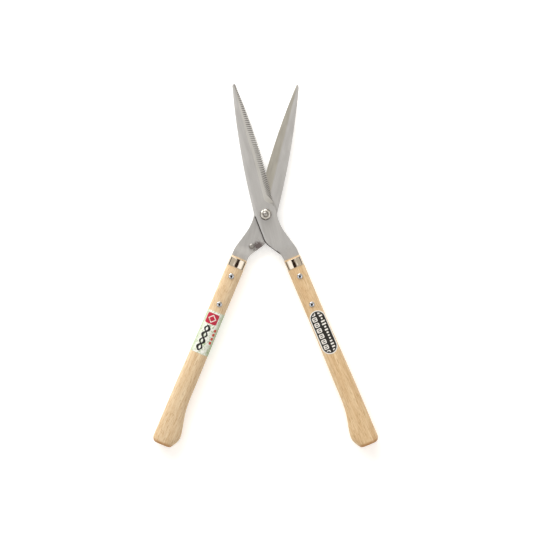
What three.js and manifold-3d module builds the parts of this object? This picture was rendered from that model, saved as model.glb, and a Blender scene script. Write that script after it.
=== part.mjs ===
// Hedge shears: a serrated front blade and a plain rear blade on one pivot bolt, each forged in one
// piece with its shank and tang, riveted into an oval wooden handle with a plated ferrule.
//
// Millimetres, +Z up. The shears lie flat and part open: the pivot axis is Z, the tips point along
// +Y, and the origin is the middle of the pivot bolt's flat head, on the plane they lie on.
//
// Each half is modelled in its own frame, as it stands when the shears are closed: pivot axis at
// x = y = 0, the parting plane between the blades at z = 0, the outer face towards +z, the cutting
// edge on the +x side. The rear half is the same design turned over about Y.
// Each handle has a frame of its own inside its half: s runs down the handle's axis from the top
// of the ferrule, +x is the side away from the other handle.

import * as THREE from 'three';
import { mergeVertices } from 'three/addons/utils/BufferGeometryUtils.js';
import Module from 'manifold-3d';

const wasm = await Module();
wasm.setup();

const { degToRad, lerp, smoothstep } = THREE.MathUtils;

// ---------------------------------------------------------------- driving dimensions

// Opening
const REST_HALF_ANGLE = degToRad(13.45); // each half, from closed to the resting pose
const TIP_CROSSING = degToRad(0.35); // each half, how far the edges cross when closed

// Blades
const BLADE_LENGTH = 179.4; // from the heel of the edge to the tip
const HEEL_Y = 17; // where the cutting edge starts, above the pivot
const BLADE_THICKNESS = 4;
const TIP_THICKNESS = 2.2;
const PIVOT_WIDTH = 32.2;
const SPINE_SWEEP = 12.8; // how far the spine has curved in by the tip
const SPINE_STRAIGHT = 8; // length of straight spine above the heel
const FRONT_EDGE = { reach: 15.3, straight: 28, sweep: 14.6, tipSlant: 1.6 };
const REAR_EDGE = { reach: 14.6, straight: 0, sweep: 14.9, tipSlant: 3.4 };
const BEVEL_WIDTH = 12; // of the ground cutting bevel
const BEVEL_SHARE_AT_TIP = 0.5; // of the blade's width, where that is the smaller
const BEVEL_RUN_IN = 6; // the bevel reaches its full width this far above the heel
const BEVEL_RUN_OUT = 11; // and ends in a curved shoulder this far below it
const EDGE_LAND = 0.35;
const SPINE_BEVEL = 3;
const SPINE_DROP = 1.1;
const BACK_FALL = 0.2; // the outer face falls this much from the bevel to the spine
const HOLLOW = 0.25; // hollow grinding of the inner face
const ARRIS = 0.4; // broken edges of the shank

// Serrations of the front blade
const HEEL_PITCH = 4.1;
const PITCH = 3.1;
const HEEL_PITCH_LENGTH = 40; // over which the pitch closes up
const GROOVE_DEPTH = 0.95; // at the edge, below the bevel
const GROOVE_RUN_OUT_DEPTH = 0.3; // at the groove's inner end
const GROOVE_LENGTH = 9.5;
const GROOVE_SHARE_OF_BEVEL = 0.82; // where the bevel is narrow
const GROOVE_FLANK = degToRad(52);
const GROOVE_SLANT_AT_HEEL = degToRad(58); // from square to the edge, falling towards the heel
const GROOVE_SLANT = degToRad(16); // along the rest of the blade
const GROOVE_SLANT_LENGTH = 58; // over which the slant eases off
const GROOVE_FREE_HEEL = 1;
const GROOVE_FREE_TIP = 6;
const GROOVE_OVERRUN = 3; // of the cutter outside the edge
const GROOVE_CUTTER_HEIGHT = 3;

// Shanks, from the pivot to the top of the ferrule
const SHANK_OFFSET = 23.1; // ferrule top from the pivot, sideways
const SHANK_DROP = 72.4; // and downwards
const HANDLE_SPLAY = degToRad(9.55); // handle axis from the closed shears' middle line
const KNEE = new THREE.Vector2(-10.7, -40.6); // corner of the inner edge before its rounding
const KNEE_ROUND = 6.5;
const OUTER_BEND_Y = -19.5; // corner of the outer edge before its rounding
const OUTER_ROUND = 15;
const NECK_LENGTH_INNER = 8; // straight stretches just above the wood
const NECK_LENGTH_OUTER = 10.5;
const NECK_ROUND = 5;
const CRANK_START = 0.73; // share of the shank's length where it bends to the handle's middle
const CRANK_END = 0.95;
const SPINE_PLAIN_START = 0.5; // share where the spine's bevel starts to close to an arris
const SPINE_PLAIN_END = 0.9;
const SHANK_INSET = 0.9; // of the shank's sides from the wood's at the shoulders

// Tang
const TANG_LENGTH = 88; // below the ferrule's top
const TANG_WIDTH = 17;
const TANG_END_WIDTH = 11;
const TANG_TIP = 4; // length of its rounded end
const TANG_TIP_BREAK = 1.2; // the end rounds in two facets, the last this long
const TANG_BREAK_WIDTH = 7.7;
const TANG_TIP_WIDTH = 3.3;

// Pivot
const BOLT_DIAMETER = 8;
const SQUARE_STEP = 0.4; // the neck's flats stand out of the round shank
const BOLT_HEAD_DIAMETER = 19;
const BOLT_HEAD_FLAT = 13;
const BOLT_HEAD_RIM = 2.2;
const BOLT_HEAD_CROWN = { inset: 0.8, rise: 1 }; // step between the rim and the flat
const PEENED_HEIGHT = 1.2; // of the bolt's end above the nut
const PEENED_DIAMETER = 6;
const PEENED_CHAMFER = 0.4;
const PEENED_FLAT = 3.2;
const THREAD_CHAMFER = 0.6;
const NUT_FLATS = 13;
const NUT_HEIGHT = 6.5;
const NUT_CROWN = degToRad(30);
const NUT_CROWN_INSET = 0.3; // of the top face's circle inside the flats
const WASHER_DIAMETER = 17;
const WASHER_THICKNESS = 1.5;

// Stop pin
const STOP_DIAMETER = 8;
const STOP_STEM = 5;
const STOP_RIM = 1.6;
const STOP_HEIGHT = 3.6;
const STOP_ALONG = 8.5; // from the knee's corner along the other half's shank

// Handles
const HANDLE_LENGTH = 292.5; // from the ferrule's top to the butt
const WOOD_PROUD = 2; // wood above the ferrule
const WOOD_CHAMFER = 0.5; // round its top end
const HANDLE_THICKNESS = 20;
const NECK_THICKNESS = 17.6;
const NECK_INNER = 13.1; // half widths at the neck, from the axis
const NECK_OUTER = 12.65;
const GRIP_INNER = 14.5;
const GRIP_OUTER = 14;
const OVAL_POWER = 2.3; // of the superellipse section
const NECK_END = 90; // where the neck starts to swell into the grip
const GRIP_START = 205; // where the grip has its full size
const FLARE = 9; // of the inner side, towards the butt
const BUTT_CORNER = 18; // length of the slanted corner at the flare's end
const BUTT_CORNER_DEPTH = 8.5;
const BUTT_ROUND = 8; // rounding of the outer corner
const BUTT_ROUND_DEPTH = 4;
const BUTT_EDGE = 4; // rounding of the faces' edges
const BUTT_EDGE_DEPTH = 2.5;

// Ferrules
const FERRULE_LENGTH = 13;
const FERRULE_WALL = 0.9;
const FERRULE_PROUD = 0.5; // outside the wood of the neck
const FERRULE_EDGE = 0.5;

// Rivets
const RIVET_PLACES = [27, 71.5];
const RIVET_DIAMETER = 4;
const RIVET_HEAD_DIAMETER = 8;
const RIVET_HEAD_HEIGHT = 2.1;
const RIVET_HEAD_RIM = 0.35;
const RIVET_TAIL_DIAMETER = 5.6;
const RIVET_TAIL_HEIGHT = 0.4;
const RIVET_TAIL_CHAMFER = 0.6;
const BURR_DIAMETER = 8;
const BURR_THICKNESS = 0.7;
const SEAT_DEPTH = 0.3; // flat sunk into the oval wood under a head or burr

// Labels
const FILM = 0.2;
const LEFT_LABEL = { start: 83.5, length: 65 };
const RIGHT_LABEL = { start: 82, length: 67, width: 23.6 };

// Clearances
const BLADE_GAP = 0.3; // between the two blades
const SEAT_GAP = 0.1; // between faces that rest on each other
const FIT = 0.15; // round fixed pieces
const RUNNING_FIT = 0.1; // round the bolt where the front blade turns
const WOOD_GAP = 0.3; // between the shank's shoulders and the wood

// Facets
const ROUND = 40; // of the pivot's pieces
const SMALL_ROUND = 20; // of rivets, pins and their holes
const OVAL = 24;
const BLADE_STATIONS = 24;
const SHOULDER_STATIONS = 10; // where the bevel ends
const SHANK_STATIONS = 24;
const SWELL_STATIONS = 8; // of a handle, from its neck to its grip
const FLARE_STATIONS = 9;
const CORNER_STATIONS = 4;
const EDGE_STATIONS = 3;
const LABEL_STATIONS = 4;
const WELD = 1e-4; // points closer than this are one
const BEYOND = 1; // how far a cutter runs past what it cuts

// ---------------------------------------------------------------- derived dimensions

const TIP_Y = HEEL_Y + BLADE_LENGTH;
const PARTING_Z = HANDLE_THICKNESS / 2;
const PLATE_FLOOR = BLADE_GAP / 2; // inner face of a plate, from the parting plane
const PLATE_TOP = PLATE_FLOOR + BLADE_THICKNESS;
const CRANK = PLATE_FLOOR + BLADE_THICKNESS / 2; // brings the tang to the handle's middle
const SHOULDER_S = -WOOD_PROUD - WOOD_GAP; // the shank's shoulders, in the handle's frame
const SQUARE_NECK = BOLT_DIAMETER + 2 * SQUARE_STEP;
const WASHER_FLOOR = PLATE_TOP + SEAT_GAP;
const NUT_FLOOR = WASHER_FLOOR + WASHER_THICKNESS + SEAT_GAP;
const NUT_TOP = NUT_FLOOR + NUT_HEIGHT;

// ---------------------------------------------------------------- solids and cuts

const vector = (x, y, z) => new THREE.Vector3(x, y, z);

/** The same geometry with positions only. */
function bareCopy(geometry) {
  const bare = geometry.clone();
  bare.deleteAttribute('normal');
  bare.deleteAttribute('uv');
  return bare;
}

/** A closed geometry as a manifold solid. */
function solid(geometry) {
  const merged = mergeVertices(bareCopy(geometry), WELD);
  return new wasm.Manifold(
    new wasm.Mesh({
      numProp: 3,
      vertProperties: new Float32Array(merged.attributes.position.array),
      triVerts: new Uint32Array(merged.index.array),
    }),
  );
}

/** A manifold solid as a geometry. */
function geometryOf(made) {
  const mesh = made.getMesh();
  const geometry = new THREE.BufferGeometry();
  geometry.setAttribute('position', new THREE.BufferAttribute(mesh.vertProperties, 3));
  geometry.setIndex(new THREE.BufferAttribute(mesh.triVerts, 1));
  geometry.computeVertexNormals();
  return geometry;
}

/** One geometry less all the others. */
function cut(geometry, cutters) {
  let made = solid(geometry);
  for (const cutter of cutters) made = made.subtract(solid(cutter));
  return geometryOf(made);
}

const join = (a, b) => geometryOf(solid(a).add(solid(b)));

const common = (a, b) => geometryOf(solid(a).intersect(solid(b)));

/** Triangles between rings of equal count, with a fan over each end, facing out. */
function loft(rings) {
  const count = rings[0].length;
  const points = rings.flat();
  const index = [];
  for (let r = 0; r + 1 < rings.length; r++) {
    for (let i = 0; i < count; i++) {
      const j = (i + 1) % count;
      const [a, b, c, d] = [r * count + i, r * count + j, (r + 1) * count + j, (r + 1) * count + i];
      index.push(a, b, c, a, c, d);
    }
  }
  const ends = [rings[0], rings[rings.length - 1]];
  const starts = [0, (rings.length - 1) * count];
  ends.forEach((ring, end) => {
    const middle = points.length;
    points.push(ring.reduce((sum, p) => sum.add(p), vector(0, 0, 0)).divideScalar(count));
    for (let i = 0; i < count; i++) {
      const pair = [starts[end] + i, starts[end] + ((i + 1) % count)];
      index.push(middle, ...(end === 0 ? pair.reverse() : pair));
    }
  });
  const geometry = new THREE.BufferGeometry().setFromPoints(points);
  geometry.setIndex(index);
  return facingOut(geometry);
}

/** The same closed geometry with its faces turned outwards. */
function facingOut(geometry) {
  const position = geometry.attributes.position;
  const index = Array.from(geometry.index.array);
  const corner = (k) => new THREE.Vector3().fromBufferAttribute(position, index[k]);
  let volume = 0;
  for (let k = 0; k < index.length; k += 3) {
    volume += corner(k).dot(corner(k + 1).cross(corner(k + 2)));
  }
  if (volume < 0) {
    for (let k = 0; k < index.length; k += 3) [index[k + 1], index[k + 2]] = [index[k + 2], index[k + 1]];
  }
  geometry.setIndex(index);
  geometry.computeVertexNormals();
  return geometry;
}

/** A round bar along Z. */
function bar(radius, low, high, x = 0, y = 0, segments = SMALL_ROUND) {
  return new THREE.CylinderGeometry(radius, radius, high - low, segments)
    .rotateX(Math.PI / 2)
    .translate(x, y, (low + high) / 2);
}

/** A turned piece about Z, from a profile of [radius, z] that starts and ends on the axis. */
function turned(profile, segments = SMALL_ROUND) {
  const points = profile.map(([r, z]) => new THREE.Vector2(r, z));
  const geometry = new THREE.LatheGeometry(points, segments).rotateX(Math.PI / 2);
  return facingOut(mergeVertices(bareCopy(geometry), WELD));
}

/** Points of a dome's profile, from its rim to the axis. */
function dome(radius, rim, height, count = 4) {
  return Array.from({ length: count + 1 }, (_, i) => {
    const a = (i / count) * (Math.PI / 2);
    return [i === count ? 0 : radius * Math.cos(a), rim + (height - rim) * Math.sin(a)];
  });
}

// ---------------------------------------------------------------- the handle's frame in a half

const HANDLE_TOP = new THREE.Vector2(SHANK_OFFSET, -SHANK_DROP);
const HANDLE_DOWN = new THREE.Vector2(Math.sin(HANDLE_SPLAY), -Math.cos(HANDLE_SPLAY));
const HANDLE_SIDE = new THREE.Vector2(Math.cos(HANDLE_SPLAY), Math.sin(HANDLE_SPLAY));

/** A point of the handle's frame, sideways x and s down the axis, in the half's frame. */
const handlePoint = (x, s) =>
  HANDLE_TOP.clone().addScaledVector(HANDLE_DOWN, s).addScaledVector(HANDLE_SIDE, x);

// ---------------------------------------------------------------- the handle's section

const part = (value, low, high) => THREE.MathUtils.clamp((value - low) / (high - low), 0, 1);

/** Half width of the wood towards the other handle. */
function innerHalf(s) {
  const swell = (GRIP_INNER - NECK_INNER) * smoothstep(s, NECK_END, GRIP_START);
  const flareTop = HANDLE_LENGTH - BUTT_CORNER;
  const flare = FLARE * smoothstep(part(s, GRIP_START, flareTop) ** 1.6, 0, 1);
  const corner = BUTT_CORNER_DEPTH * part(s, flareTop, HANDLE_LENGTH) ** 1.6;
  return NECK_INNER + swell + flare - corner;
}

/** Half width of the wood away from the other handle. */
function outerHalf(s) {
  const swell = (GRIP_OUTER - NECK_OUTER) * smoothstep(s, NECK_END, GRIP_START);
  const corner = BUTT_ROUND_DEPTH * part(s, HANDLE_LENGTH - BUTT_ROUND, HANDLE_LENGTH) ** 2;
  return NECK_OUTER + swell - corner;
}

/** Half thickness of the wood. */
function halfThickness(s) {
  const swell = (HANDLE_THICKNESS - NECK_THICKNESS) * smoothstep(s, NECK_END, GRIP_START);
  const edge = BUTT_EDGE_DEPTH * part(s, HANDLE_LENGTH - BUTT_EDGE, HANDLE_LENGTH) ** 2;
  return (NECK_THICKNESS + swell) / 2 - edge;
}

/** The oval section at s, grown by an offset, as a ring in the handle's frame. */
function ovalRing(s, offset) {
  return Array.from({ length: OVAL }, (_, i) => {
    const a = (i / OVAL) * 2 * Math.PI;
    const half = (Math.cos(a) > 0 ? outerHalf(s) : innerHalf(s)) + offset;
    const x = half * Math.sign(Math.cos(a)) * Math.abs(Math.cos(a)) ** (2 / OVAL_POWER);
    const high = halfThickness(s) + offset;
    const z = high * Math.sign(Math.sin(a)) * Math.abs(Math.sin(a)) ** (2 / OVAL_POWER);
    return vector(x, -s, z);
  });
}

/** Height of the flat seats for heads and burrs, above the handle's middle plane. */
const seatHeight = (s) => halfThickness(s) - SEAT_DEPTH;

// ---------------------------------------------------------------- blade halves

/** A plan path of straight lines whose corners are rounded. */
function roundedPath(start, corners, end) {
  const path = new THREE.CurvePath();
  let from = start;
  corners.forEach(({ at, round }, i) => {
    const next = i + 1 < corners.length ? corners[i + 1].at : end;
    const before = at.clone().addScaledVector(start.clone().subVectors(from, at).normalize(), round);
    const after = at.clone().addScaledVector(start.clone().subVectors(next, at).normalize(), round);
    path.add(new THREE.LineCurve(from, before));
    path.add(new THREE.QuadraticBezierCurve(before, at, after));
    from = after;
  });
  path.add(new THREE.LineCurve(from, end));
  return path;
}

const shankInner = -(NECK_INNER - SHANK_INSET);
const shankOuter = NECK_OUTER - SHANK_INSET;

/** The shank's inner edge, from the pivot to the shoulder above the wood. */
const innerEdge = roundedPath(
  new THREE.Vector2(-PIVOT_WIDTH / 2, 0),
  [
    { at: KNEE, round: KNEE_ROUND },
    { at: handlePoint(shankInner, SHOULDER_S - NECK_LENGTH_INNER), round: NECK_ROUND },
  ],
  handlePoint(shankInner, SHOULDER_S),
);

/** The shank's outer edge, from the pivot to the shoulder above the wood. */
const outerEdge = roundedPath(
  new THREE.Vector2(PIVOT_WIDTH / 2, 0),
  [
    { at: new THREE.Vector2(PIVOT_WIDTH / 2, OUTER_BEND_Y), round: OUTER_ROUND },
    { at: handlePoint(shankOuter, SHOULDER_S - NECK_LENGTH_OUTER), round: NECK_ROUND },
  ],
  handlePoint(shankOuter, SHOULDER_S),
);

/**
 * One section of a blade half, on the plan line from its cutting side to its spine side.
 * The bevel falls to the land at the cutting side; the floor is the inner face.
 */
function plateRing({ edge, spine, floor, thickness, bevel, land, spineBevel, spineDrop, fall, hollow }) {
  const width = edge.distanceTo(spine);
  const across = spine.clone().sub(edge).divideScalar(width);
  const profile = [
    [0, 0],
    [0, land],
    [bevel, thickness],
    [width - spineBevel, thickness - fall],
    [width, thickness - spineDrop],
    [width, 0],
    [width * 0.75, hollow],
    [width * 0.5, hollow * 1.3],
    [width * 0.25, hollow],
  ];
  return profile.map(([d, z]) => {
    const at = edge.clone().addScaledVector(across, d);
    return vector(at.x, at.y, floor + z);
  });
}

const spineX = (y) => -PIVOT_WIDTH / 2 + SPINE_SWEEP * part(y, HEEL_Y + SPINE_STRAIGHT, TIP_Y) ** 2;

/** X of the cutting edge, easing out to the pivot's flank below the heel. */
function edgeX(y, edge) {
  const sweep = edge.sweep * part(y, HEEL_Y + edge.straight, TIP_Y) ** 2;
  return lerp(PIVOT_WIDTH / 2, edge.reach, smoothstep(y, 0, HEEL_Y)) - sweep;
}

const bladeThickness = (y) => lerp(BLADE_THICKNESS, TIP_THICKNESS, part(y, HEEL_Y, TIP_Y));

/** Measures of a blade's section whose cutting side is at y. */
function bladeStation(y, edge) {
  const slant = edge.tipSlant * part(y, HEEL_Y, TIP_Y);
  const spineY = y - slant;
  const width = edgeX(y, edge) - spineX(spineY);
  const thickness = bladeThickness(y);
  const full = Math.min(BEVEL_WIDTH, BEVEL_SHARE_AT_TIP * width);
  const grown = smoothstep(y, HEEL_Y - BEVEL_RUN_OUT, HEEL_Y + BEVEL_RUN_IN);
  const ground = smoothstep(y, HEEL_Y - BEVEL_RUN_OUT, HEEL_Y);
  return {
    edge: new THREE.Vector2(edgeX(y, edge), y),
    spine: new THREE.Vector2(spineX(spineY), spineY),
    floor: PLATE_FLOOR,
    thickness,
    bevel: lerp(ARRIS, full, grown),
    land: lerp(thickness - ARRIS, EDGE_LAND, ground),
    spineBevel: Math.min(SPINE_BEVEL, width * 0.2),
    spineDrop: SPINE_DROP * (thickness / BLADE_THICKNESS),
    fall: BACK_FALL * grown,
    hollow: HOLLOW * smoothstep(y, HEEL_Y + BEVEL_RUN_IN, 2 * (HEEL_Y + BEVEL_RUN_IN)),
  };
}

/** Measures of a shank's section, at a share of the way from the pivot to the wood. */
function shankStation(share) {
  const plain = smoothstep(share, SPINE_PLAIN_START, SPINE_PLAIN_END);
  return {
    edge: outerEdge.getPoint(share),
    spine: innerEdge.getPoint(share),
    floor: PLATE_FLOOR - CRANK * smoothstep(share, CRANK_START, CRANK_END),
    thickness: BLADE_THICKNESS,
    bevel: ARRIS,
    land: BLADE_THICKNESS - ARRIS,
    spineBevel: lerp(SPINE_BEVEL, ARRIS, plain),
    spineDrop: lerp(SPINE_DROP, ARRIS, plain),
    fall: 0,
    hollow: 0,
  };
}

/** Stations of the tang as half widths [s, half width]. */
const TANG_STATIONS = [
  [SHOULDER_S, TANG_WIDTH / 2],
  [TANG_LENGTH - TANG_TIP, TANG_END_WIDTH / 2],
  [TANG_LENGTH - TANG_TIP_BREAK, TANG_BREAK_WIDTH / 2],
  [TANG_LENGTH, TANG_TIP_WIDTH / 2],
];

/** Measures of a tang's section. */
function tangStation([s, half]) {
  return {
    ...shankStation(1),
    edge: handlePoint(half, s),
    spine: handlePoint(-half, s),
  };
}

const steps = (from, to, count) => Array.from({ length: count + 1 }, (_, i) => lerp(from, to, i / count));

/** A whole blade half without its holes and serrations. */
function blankHalf(edge) {
  const bevelFull = HEEL_Y + BEVEL_RUN_IN;
  const bevelGone = HEEL_Y - BEVEL_RUN_OUT;
  const bladeYs = [
    ...steps(TIP_Y, bevelFull, BLADE_STATIONS),
    ...steps(bevelFull, bevelGone, SHOULDER_STATIONS).slice(1),
    bevelGone / 2,
  ];
  const stations = [
    ...bladeYs.map((y) => bladeStation(y, edge)),
    ...steps(0, 1, SHANK_STATIONS).map(shankStation),
    ...TANG_STATIONS.map(tangStation),
  ];
  return loft(stations.map(plateRing));
}

/** Places of the serrations along the edge, closing up from the heel's pitch. */
function groovePlaces() {
  const places = [];
  let y = HEEL_Y + GROOVE_FREE_HEEL;
  while (y < TIP_Y - GROOVE_FREE_TIP) {
    places.push(y);
    y += lerp(HEEL_PITCH, PITCH, part(y - HEEL_Y, 0, HEEL_PITCH_LENGTH));
  }
  return places;
}

/** Angle of the serration that starts at y, from square to the edge. */
const grooveSlant = (y) =>
  lerp(GROOVE_SLANT_AT_HEEL, GROOVE_SLANT, smoothstep(y, HEEL_Y, HEEL_Y + GROOVE_SLANT_LENGTH));

/** A V-shaped cutter that runs from outside the edge up the bevel and out of it. */
function grooveCutter(y, edge) {
  const slant = grooveSlant(y);
  const length = Math.min(GROOVE_LENGTH, bladeStation(y, edge).bevel * GROOVE_SHARE_OF_BEVEL);
  const { bevel, thickness } = bladeStation(y + length * Math.sin(slant), edge);
  const slope = ((thickness - EDGE_LAND) / bevel) * Math.cos(slant);
  const inwards = vector(-Math.cos(slant), Math.sin(slant), 0);
  const sideways = vector(Math.sin(slant), Math.cos(slant), 0);
  const reach = GROOVE_CUTTER_HEIGHT * Math.tan(GROOVE_FLANK);
  const ring = (t) => {
    const depth = lerp(GROOVE_DEPTH, GROOVE_RUN_OUT_DEPTH, t / length);
    const low = vector(edgeX(y, edge), y, PLATE_FLOOR + EDGE_LAND + slope * t - depth);
    low.addScaledVector(inwards, t);
    const high = low.clone().setZ(low.z + GROOVE_CUTTER_HEIGHT);
    return [
      low,
      high.clone().addScaledVector(sideways, reach),
      high.clone().addScaledVector(sideways, -reach),
    ];
  };
  return loft([ring(-GROOVE_OVERRUN), ring(length)]);
}

/** Bars through the tang for the rivets, in the half's frame. */
function tangHoles() {
  return RIVET_PLACES.map((s) => {
    const at = handlePoint(0, s);
    return bar(RIVET_DIAMETER / 2 + FIT, -BLADE_THICKNESS, BLADE_THICKNESS, at.x, at.y);
  });
}

/** The serrated front half, with a round bore for the bolt. */
function frontBlade() {
  const bore = bar(BOLT_DIAMETER / 2 + RUNNING_FIT, -BEYOND, PLATE_TOP + BEYOND, 0, 0, ROUND);
  const grooves = groovePlaces().map((y) => grooveCutter(y, FRONT_EDGE));
  return cut(blankHalf(FRONT_EDGE), [bore, ...tangHoles(), ...grooves]);
}

/** The plain rear half, with a square hole for the bolt's neck and a hole for the stop pin. */
function rearBlade() {
  const side = SQUARE_NECK + 2 * FIT;
  const square = new THREE.BoxGeometry(side, side, 4 * BLADE_THICKNESS);
  const pin = bar(STOP_STEM / 2 + FIT, -BEYOND, PLATE_TOP + BEYOND, STOP_PLACE.x, STOP_PLACE.y);
  return cut(blankHalf(REAR_EDGE), [square, pin, ...tangHoles()]);
}

// ---------------------------------------------------------------- pivot and stop

/** Turned bolt with a flat head and a square neck, in the rear half's frame. */
function pivotBolt() {
  const head = { low: PLATE_TOP + SEAT_GAP, high: PARTING_Z };
  const rim = BOLT_HEAD_DIAMETER / 2;
  const radius = BOLT_DIAMETER / 2;
  const end = -(NUT_TOP + PEENED_HEIGHT);
  const shape = turned([
    [0, head.high],
    [BOLT_HEAD_FLAT / 2, head.high],
    [rim - BOLT_HEAD_CROWN.inset, head.low + BOLT_HEAD_RIM + BOLT_HEAD_CROWN.rise],
    [rim, head.low + BOLT_HEAD_RIM],
    [rim, head.low],
    [radius, head.low],
    [radius, -NUT_TOP + THREAD_CHAMFER],
    [PEENED_DIAMETER / 2, -NUT_TOP],
    [PEENED_DIAMETER / 2 - PEENED_CHAMFER, end + PEENED_CHAMFER],
    [PEENED_FLAT / 2, end],
    [0, end],
  ], ROUND);
  const neckLow = PLATE_FLOOR + SEAT_GAP;
  const neck = new THREE.BoxGeometry(SQUARE_NECK, SQUARE_NECK, head.low - neckLow + SEAT_GAP);
  neck.translate(0, 0, (head.low + SEAT_GAP + neckLow) / 2);
  return join(shape, neck);
}

/** Washer between the front blade and the nut. */
function pivotWasher() {
  const disc = bar(WASHER_DIAMETER / 2, WASHER_FLOOR, WASHER_FLOOR + WASHER_THICKNESS, 0, 0, ROUND);
  return cut(disc, [bar(BOLT_DIAMETER / 2 + FIT, 0, NUT_TOP, 0, 0, ROUND)]);
}

/** Hexagon nut whose corners are crowned off by a cone, points along Y. */
function pivotNut() {
  const corner = NUT_FLATS / Math.sqrt(3);
  const hexagon = new THREE.CylinderGeometry(corner, corner, NUT_HEIGHT, 6).rotateX(Math.PI / 2);
  hexagon.translate(0, 0, NUT_FLOOR + NUT_HEIGHT / 2);
  const crownRadius = NUT_FLATS / 2 - NUT_CROWN_INSET;
  const outside = corner + BEYOND;
  const fall = (outside - crownRadius) * Math.tan(NUT_CROWN);
  const crown = turned([
    [0, NUT_FLOOR - BEYOND],
    [outside, NUT_FLOOR - BEYOND],
    [outside, NUT_TOP - fall],
    [crownRadius, NUT_TOP],
    [0, NUT_TOP],
  ], ROUND);
  const bore = bar(BOLT_DIAMETER / 2 + FIT, 0, NUT_TOP + BEYOND, 0, 0, ROUND);
  return cut(common(hexagon, crown), [bore]);
}

/**
 * Middle of the stop pin in the rear half's frame: against the front shank's inner edge, which
 * is this half's mirror image when the shears are closed.
 */
const STOP_PLACE = (() => {
  const mirrored = (p) => new THREE.Vector2(-p.x, p.y);
  const corner = mirrored(KNEE);
  const neck = mirrored(handlePoint(shankInner, SHOULDER_S - NECK_LENGTH_INNER));
  const down = neck.sub(corner).normalize();
  const away = new THREE.Vector2(-down.y, down.x);
  return corner
    .addScaledVector(down, STOP_ALONG)
    .addScaledVector(away, STOP_DIAMETER / 2 + FIT)
    .rotateAround(new THREE.Vector2(0, 0), 2 * TIP_CROSSING);
})();

/** Domed stop whose stem is riveted through the rear shank. */
function stopPin() {
  const radius = STOP_DIAMETER / 2;
  const face = -PLATE_FLOOR + SEAT_GAP;
  const shape = turned([
    [0, -PLATE_TOP],
    [STOP_STEM / 2, -PLATE_TOP],
    [STOP_STEM / 2, face],
    [radius, face],
    ...dome(radius, face + STOP_RIM, face + STOP_HEIGHT),
  ]);
  return shape.rotateX(Math.PI).translate(STOP_PLACE.x, STOP_PLACE.y, 0);
}

// ---------------------------------------------------------------- handle pieces

/** A bar through the wood at s, in the handle's frame. */
const woodBar = (radius, low, high, s) => bar(radius, low, high, 0, -s);

/** Slot in the wood, which the tang fills but for its clearance. */
function tangSlot() {
  const half = BLADE_THICKNESS / 2 + FIT;
  const stations = TANG_STATIONS.map(([s, width]) => [s, width + FIT]);
  stations[0][0] -= BEYOND;
  stations[stations.length - 1][0] += FIT;
  const rings = stations.map(([s, width]) => [
    vector(width, -s, -half),
    vector(width, -s, half),
    vector(-width, -s, half),
    vector(-width, -s, -half),
  ]);
  return loft(rings);
}

/** Oval wooden handle, stepped in under its ferrule, slotted and drilled. */
function handle() {
  const seat = FERRULE_PROUD - FERRULE_WALL - FIT;
  const stop = FERRULE_LENGTH + FIT;
  const flareTop = HANDLE_LENGTH - BUTT_CORNER;
  const edgeTop = HANDLE_LENGTH - BUTT_EDGE;
  const rings = [
    ovalRing(-WOOD_PROUD, seat - WOOD_CHAMFER),
    ovalRing(-WOOD_PROUD + WOOD_CHAMFER, seat),
    ovalRing(stop, seat),
    ovalRing(stop, 0),
    ovalRing(NECK_END / 2, 0),
    ...steps(NECK_END, GRIP_START, SWELL_STATIONS).map((s) => ovalRing(s, 0)),
    ...steps(GRIP_START, flareTop, FLARE_STATIONS).slice(1).map((s) => ovalRing(s, 0)),
    ...steps(flareTop, edgeTop, CORNER_STATIONS).slice(1).map((s) => ovalRing(s, 0)),
    ...steps(edgeTop, HANDLE_LENGTH, EDGE_STATIONS).slice(1).map((s) => ovalRing(s, 0)),
  ];
  const holes = RIVET_PLACES.flatMap((s) => {
    const high = seatHeight(s);
    const head = RIVET_HEAD_DIAMETER / 2 + FIT;
    return [
      woodBar(RIVET_DIAMETER / 2 + FIT, -HANDLE_THICKNESS, HANDLE_THICKNESS, s),
      woodBar(head, high, HANDLE_THICKNESS, s),
      woodBar(BURR_DIAMETER / 2 + FIT, -HANDLE_THICKNESS, -high, s),
    ];
  });
  return cut(loft(rings), [tangSlot(), ...holes]);
}

/** Pressed oval band with rolled edges. */
function ferrule() {
  const outside = FERRULE_PROUD;
  const bandRings = [
    ovalRing(0, outside - FERRULE_EDGE),
    ovalRing(FERRULE_EDGE, outside),
    ovalRing(FERRULE_LENGTH - FERRULE_EDGE, outside),
    ovalRing(FERRULE_LENGTH, outside - FERRULE_EDGE),
  ];
  const inside = outside - FERRULE_WALL;
  const hollow = loft([ovalRing(-BEYOND, inside), ovalRing(FERRULE_LENGTH + BEYOND, inside)]);
  return cut(loft(bandRings), [hollow]);
}

/** Domed rivet through wood and tang, peened over its burr at the back. */
function rivet(s) {
  const top = seatHeight(s) + SEAT_GAP;
  const stem = RIVET_DIAMETER / 2;
  const burrFace = -(top + BURR_THICKNESS + SEAT_GAP);
  const tail = RIVET_TAIL_DIAMETER / 2;
  return turned([
    [0, burrFace - RIVET_TAIL_HEIGHT],
    [tail - RIVET_TAIL_CHAMFER, burrFace - RIVET_TAIL_HEIGHT],
    [tail, burrFace],
    [stem, burrFace],
    [stem, top],
    [RIVET_HEAD_DIAMETER / 2, top],
    ...dome(RIVET_HEAD_DIAMETER / 2, top + RIVET_HEAD_RIM, top + RIVET_HEAD_HEIGHT),
  ]).translate(0, -s, 0);
}

/** Washer that a rivet's tail is peened over. */
function burr(s) {
  const top = -(seatHeight(s) + SEAT_GAP);
  const disc = woodBar(BURR_DIAMETER / 2, top - BURR_THICKNESS, top, s);
  return cut(disc, [woodBar(RIVET_DIAMETER / 2 + FIT, -HANDLE_THICKNESS, 0, s)]);
}

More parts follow.
